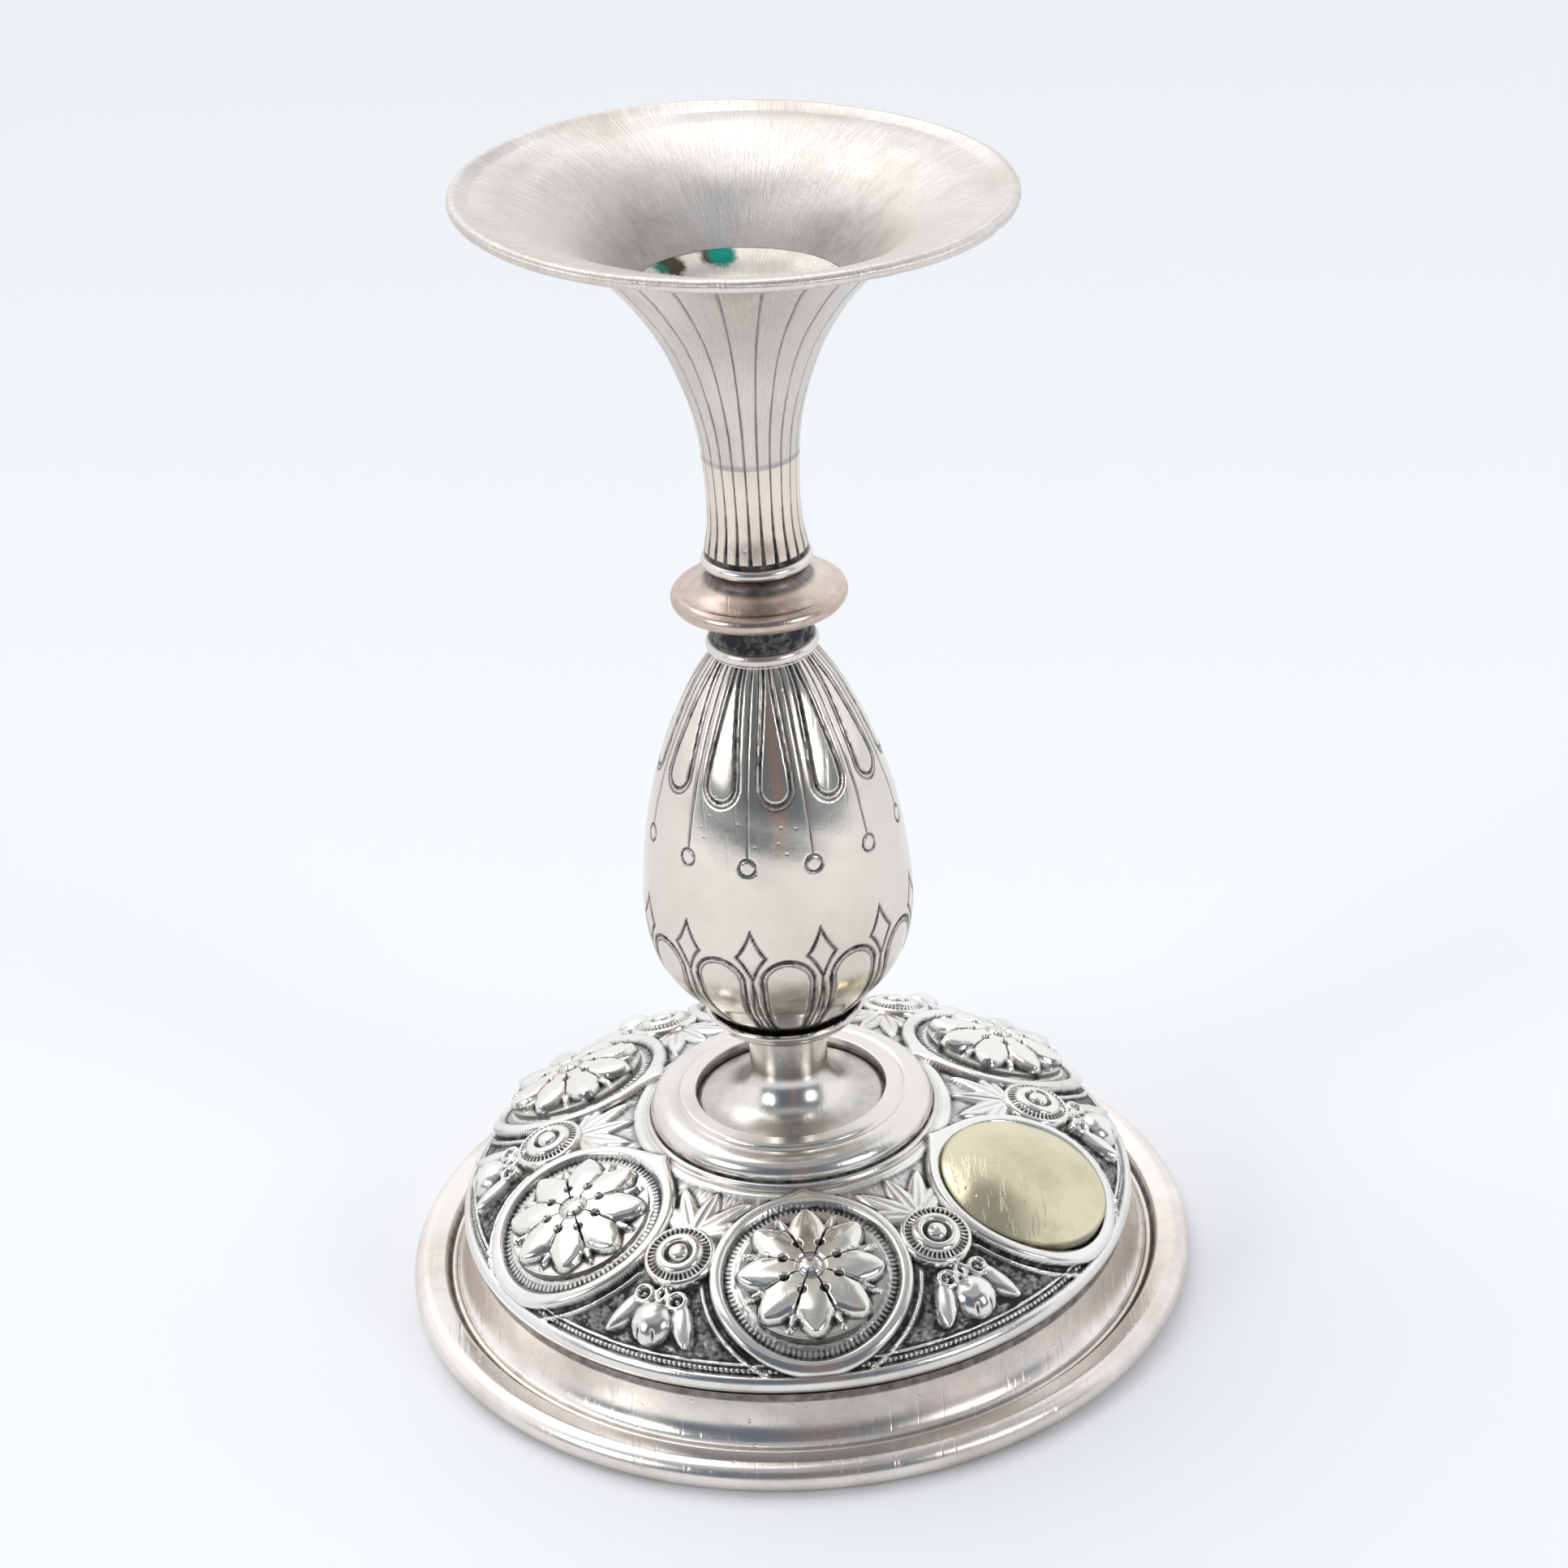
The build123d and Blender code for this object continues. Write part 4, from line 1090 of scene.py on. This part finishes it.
def lean_of_rim(across, height):
    """Rise of the trumpet's left side over its right, from a knock: it grows with the height as a smooth
    step from the seam to the rim."""
    t = np.clip((height - seam_height) / (rim_top - seam_height), 0, 1)
    return -across * rim_lean * t * t * (3 - 2 * t)


outside = smooth_line(trumpet_outline, 106)
heading = np.gradient(outside, axis=0)
heading /= np.hypot(*heading.T)[:, None]
wall_direction = np.stack([-heading[:, 1], heading[:, 0]], axis=-1)
inside = (outside + dish_wall * wall_direction)[::-1]
rim_middle = (rim_radius - rim_edge / 2, rim_top - rim_edge / 2)
rim_round = arc(rim_middle, (rim_edge / 2, rim_edge / 2), -60, 118, rim_steps)
outside, wall_direction = outside[:-3], wall_direction[:-3]
dish_profile = np.vstack([outside, rim_round, inside[4:]])
dish_angle = around(dish_columns)
outer_rows, row_count = len(outside), len(dish_profile)
dish_out, dish_up = dish_profile[:, :1], dish_profile[:, 1:]
flute_cut = fluted(outside[:, :1] + 0 * dish_angle, outside[:, 1:] + 0 * dish_angle, dish_angle, collar_top)
flute_cut *= 1 - plateau(-outside[:, :1], -(rim_radius - 7), 3.0)
solder = 0.32 * plateau(np.abs(outside[:, 1:] - seam_height - 0.5), 0.55, 0.2)
chips = np.random.default_rng(31).normal(size=(1, dish_columns))
chips = np.clip(softened(np.repeat(chips, 3, axis=0), 3)[1:2] - 0.45, 0, 1) * 0.35
dish_radius_grid = dish_out + 0 * dish_angle
dish_radius_grid[:outer_rows] += wall_direction[:, :1] * flute_cut
dish_radius_grid[outer_rows : outer_rows + rim_steps] -= chips
dish_height_grid = dish_up + 0 * dish_angle
dish_height_grid[:outer_rows] += wall_direction[:, 1:] * flute_cut
dish_height_grid += dents(dish_angle, dish_out, 0.22, 33) * (dish_out > 20)
dish_height_grid += lean_of_rim(dish_radius_grid * np.cos(dish_angle), dish_height_grid)
dish_shade = np.zeros((row_count, dish_columns))
dish_shade[:outer_rows] = np.maximum(np.clip(flute_cut / flute_depth_at_black, 0, 1) ** 0.8 * 0.80, solder)
# Painted shade on the inside, darkening the left and right of the throat's far wall.
away_from_back = np.abs((dish_angle - pi / 2 + pi) % (2 * pi) - pi)
painted_throat_shade = 0.42 * stripe(dish_out - 23.0, 6.5) * (1 - stripe(away_from_back, 0.55))
painted_throat_shade = painted_throat_shade * stripe(away_from_back - 1.0, 0.75)
dish_shade[outer_rows + rim_steps :] = painted_throat_shade[outer_rows + rim_steps :]
dish = round_skin(
    "trumpet_dish_spun",
    dish_radius_grid,
    dish_height_grid,
    dish_angle,
    loop=True,
    recess=dish_shade,
    sharp=70,
)


def brushed_silver(name, stain_places):
    """The trumpet's finish: outside it is like the neck. Inside, fine lines run outward from the axis, by
    a pattern on the angle, and wax and verdigris leave stains round given places in millimetres."""
    finish = silver(
        name,
        bright=(0.78, 0.735, 0.69),
        tarnish=(0.60, 0.54, 0.48),
        tarnish_span=(0.40, 0.72),
        polish=(0.20, 0.36),
        scratches=0.1,
        pits=0.3,
        grain=(900.0, 900.0, 120.0),
    )
    tree = finish.node_tree
    shader = tree.nodes["Principled BSDF"]
    place = tree.nodes["Texture Coordinate"].outputs["Object"]
    axes = add_node(tree, "ShaderNodeSeparateXYZ", {0: place})
    angle = maths(tree, "ARCTAN2", axes.outputs["Y"], axes.outputs["X"])
    length = add_node(tree, "ShaderNodeVectorMath", {0: place}, operation="LENGTH").outputs["Value"]
    polar = add_node(tree, "ShaderNodeCombineXYZ", {0: angle, 1: length}).outputs[0]
    drawn = add_node(tree, "ShaderNodeMapping", {"Vector": polar, "Scale": (85.0, 150.0, 1.0)}).outputs[0]
    lines = noise(tree, drawn, 1.0, 6.0, 0.75)
    relief = {"Height": lines, "Strength": 0.6, "Distance": 0.0003}
    relief["Normal"] = shader.inputs["Normal"].links[0].from_socket
    tree.links.new(add_node(tree, "ShaderNodeBump", relief).outputs[0], shader.inputs["Normal"])
    line_shade = ramp(tree, lines, (0.32, 0.68), (0.80, 1.08))
    colour = blend(tree, 0.75, shader.inputs["Base Color"].links[0].from_socket, line_shade, "MULTIPLY")
    for spot, size, stain in stain_places:
        middle = tuple(value / 1000 for value in spot)
        away = add_node(tree, "ShaderNodeVectorMath", {0: place, 1: middle}, operation="DISTANCE")
        ragged = noise(tree, place, 900.0, 5.0, 0.7)
        wander = maths(tree, "MULTIPLY_ADD", ragged, 0.003, away.outputs["Value"])
        cover = ramp(tree, wander, (size / 1000 + 0.0020, size / 1000 + 0.0009))
        colour = blend(tree, cover, colour, (*stain, 1))
    tree.links.new(colour, shader.inputs["Base Color"])
    return finish


dish_silver = brushed_silver("dish_silver", [])
finish_piece(dish, dish_silver, "trumpet_dish")

# ---- Candle socket ---------------------------------------------------------------------------------
# A loose spun cup that closes on the funnel with a thin joint line, and lifts out for cleaning. Spilt
# wax and verdigris cling to its back edge.
socket_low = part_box("candle_socket")[0].z * 1000
socket_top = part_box("candle_socket")[1].z * 1000
socket_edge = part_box("candle_socket")[1].x * 1000
bore_radius = 11.25
bore_top = socket_top - 4.7
socket_toe = 11.0

socket_profile = np.vstack(
    [
        line((socket_toe, socket_low), (bore_radius + 0.6, socket_low + 1.0), steps=3),
        line((bore_radius + 0.6, bore_top - 0.4), (socket_edge, socket_top - 0.8), steps=8),
        arc((socket_edge - 0.15, socket_top - 0.3), (0.15, 0.3), -20, 90, 5),
        smooth_line(
            [
                (socket_edge - 0.4, socket_top - 0.15),
                (socket_edge - 2.6, socket_top - 1.3),
                (bore_radius + 3.2, bore_top + 1.3),
                (bore_radius + 1.0, bore_top + 0.25),
                (bore_radius, bore_top - 0.8),
            ],
            36,
        ),
        line((bore_radius, bore_top - 1.2), (bore_radius, socket_low + 1.4), steps=14),
        line((bore_radius - 0.4, socket_low + 0.9), (2.0, socket_low + 0.8), steps=6),
    ]
)
socket_out, socket_up = socket_profile.T
socket_shade = 0.55 * plateau(socket_up - bore_top, -1.5, 3.0) * (socket_out <= bore_radius + 0.1)
socket_shade = socket_shade + 0.9 * (socket_out > socket_edge - 0.35)
verdigris, brown_wax = (0.01, 0.20, 0.15), (0.07, 0.06, 0.035)
socket_silver = brushed_silver(
    "socket_silver",
    [
        ((-5.0, 17.6, 211.3), 2.2, brown_wax),
        ((-3.0, 18.0, 211.5), 2.7, verdigris),
        ((-12.5, 13.6, 211.5), 2.9, brown_wax),
        ((-14.6, 11.8, 211.3), 1.5, verdigris),
    ],
)
socket = turned(
    "candle_socket_spun",
    socket_profile,
    socket_shade,
    columns=224,
    seed=19,
    uneven=0.02,
    sharp=50,
    loop=False,
)
socket_points = np.empty(len(socket.data.vertices) * 3)
socket.data.vertices.foreach_get("co", socket_points)
socket_points = socket_points.reshape(-1, 3)
socket_points[:, 2] += lean_of_rim(socket_points[:, 0], socket_points[:, 2] * 1000)
socket.data.vertices.foreach_set("co", socket_points.ravel())
socket.data.update()
finish_piece(socket, socket_silver, "candle_socket", body="socket")

# ---- Iron fittings ---------------------------------------------------------------------------------
# The tie rod with its washers, clamp cup and nut, in plain dark iron with a little rust. They keep the
# shapes they were designed with.
iron = silver(
    "plain_iron",
    bright=(0.30, 0.29, 0.28),
    tarnish=(0.28, 0.15, 0.08),
    tarnish_span=(0.42, 0.7),
    polish=(0.38, 0.62),
    scratches=0.3,
    pits=0.5,
)
for fitting in ("throat_washer", "tie_rod", "clamp_cup", "rod_washer", "rod_nut"):
    nodes[fitting].data.materials.clear()
    nodes[fitting].data.materials.append(iron)
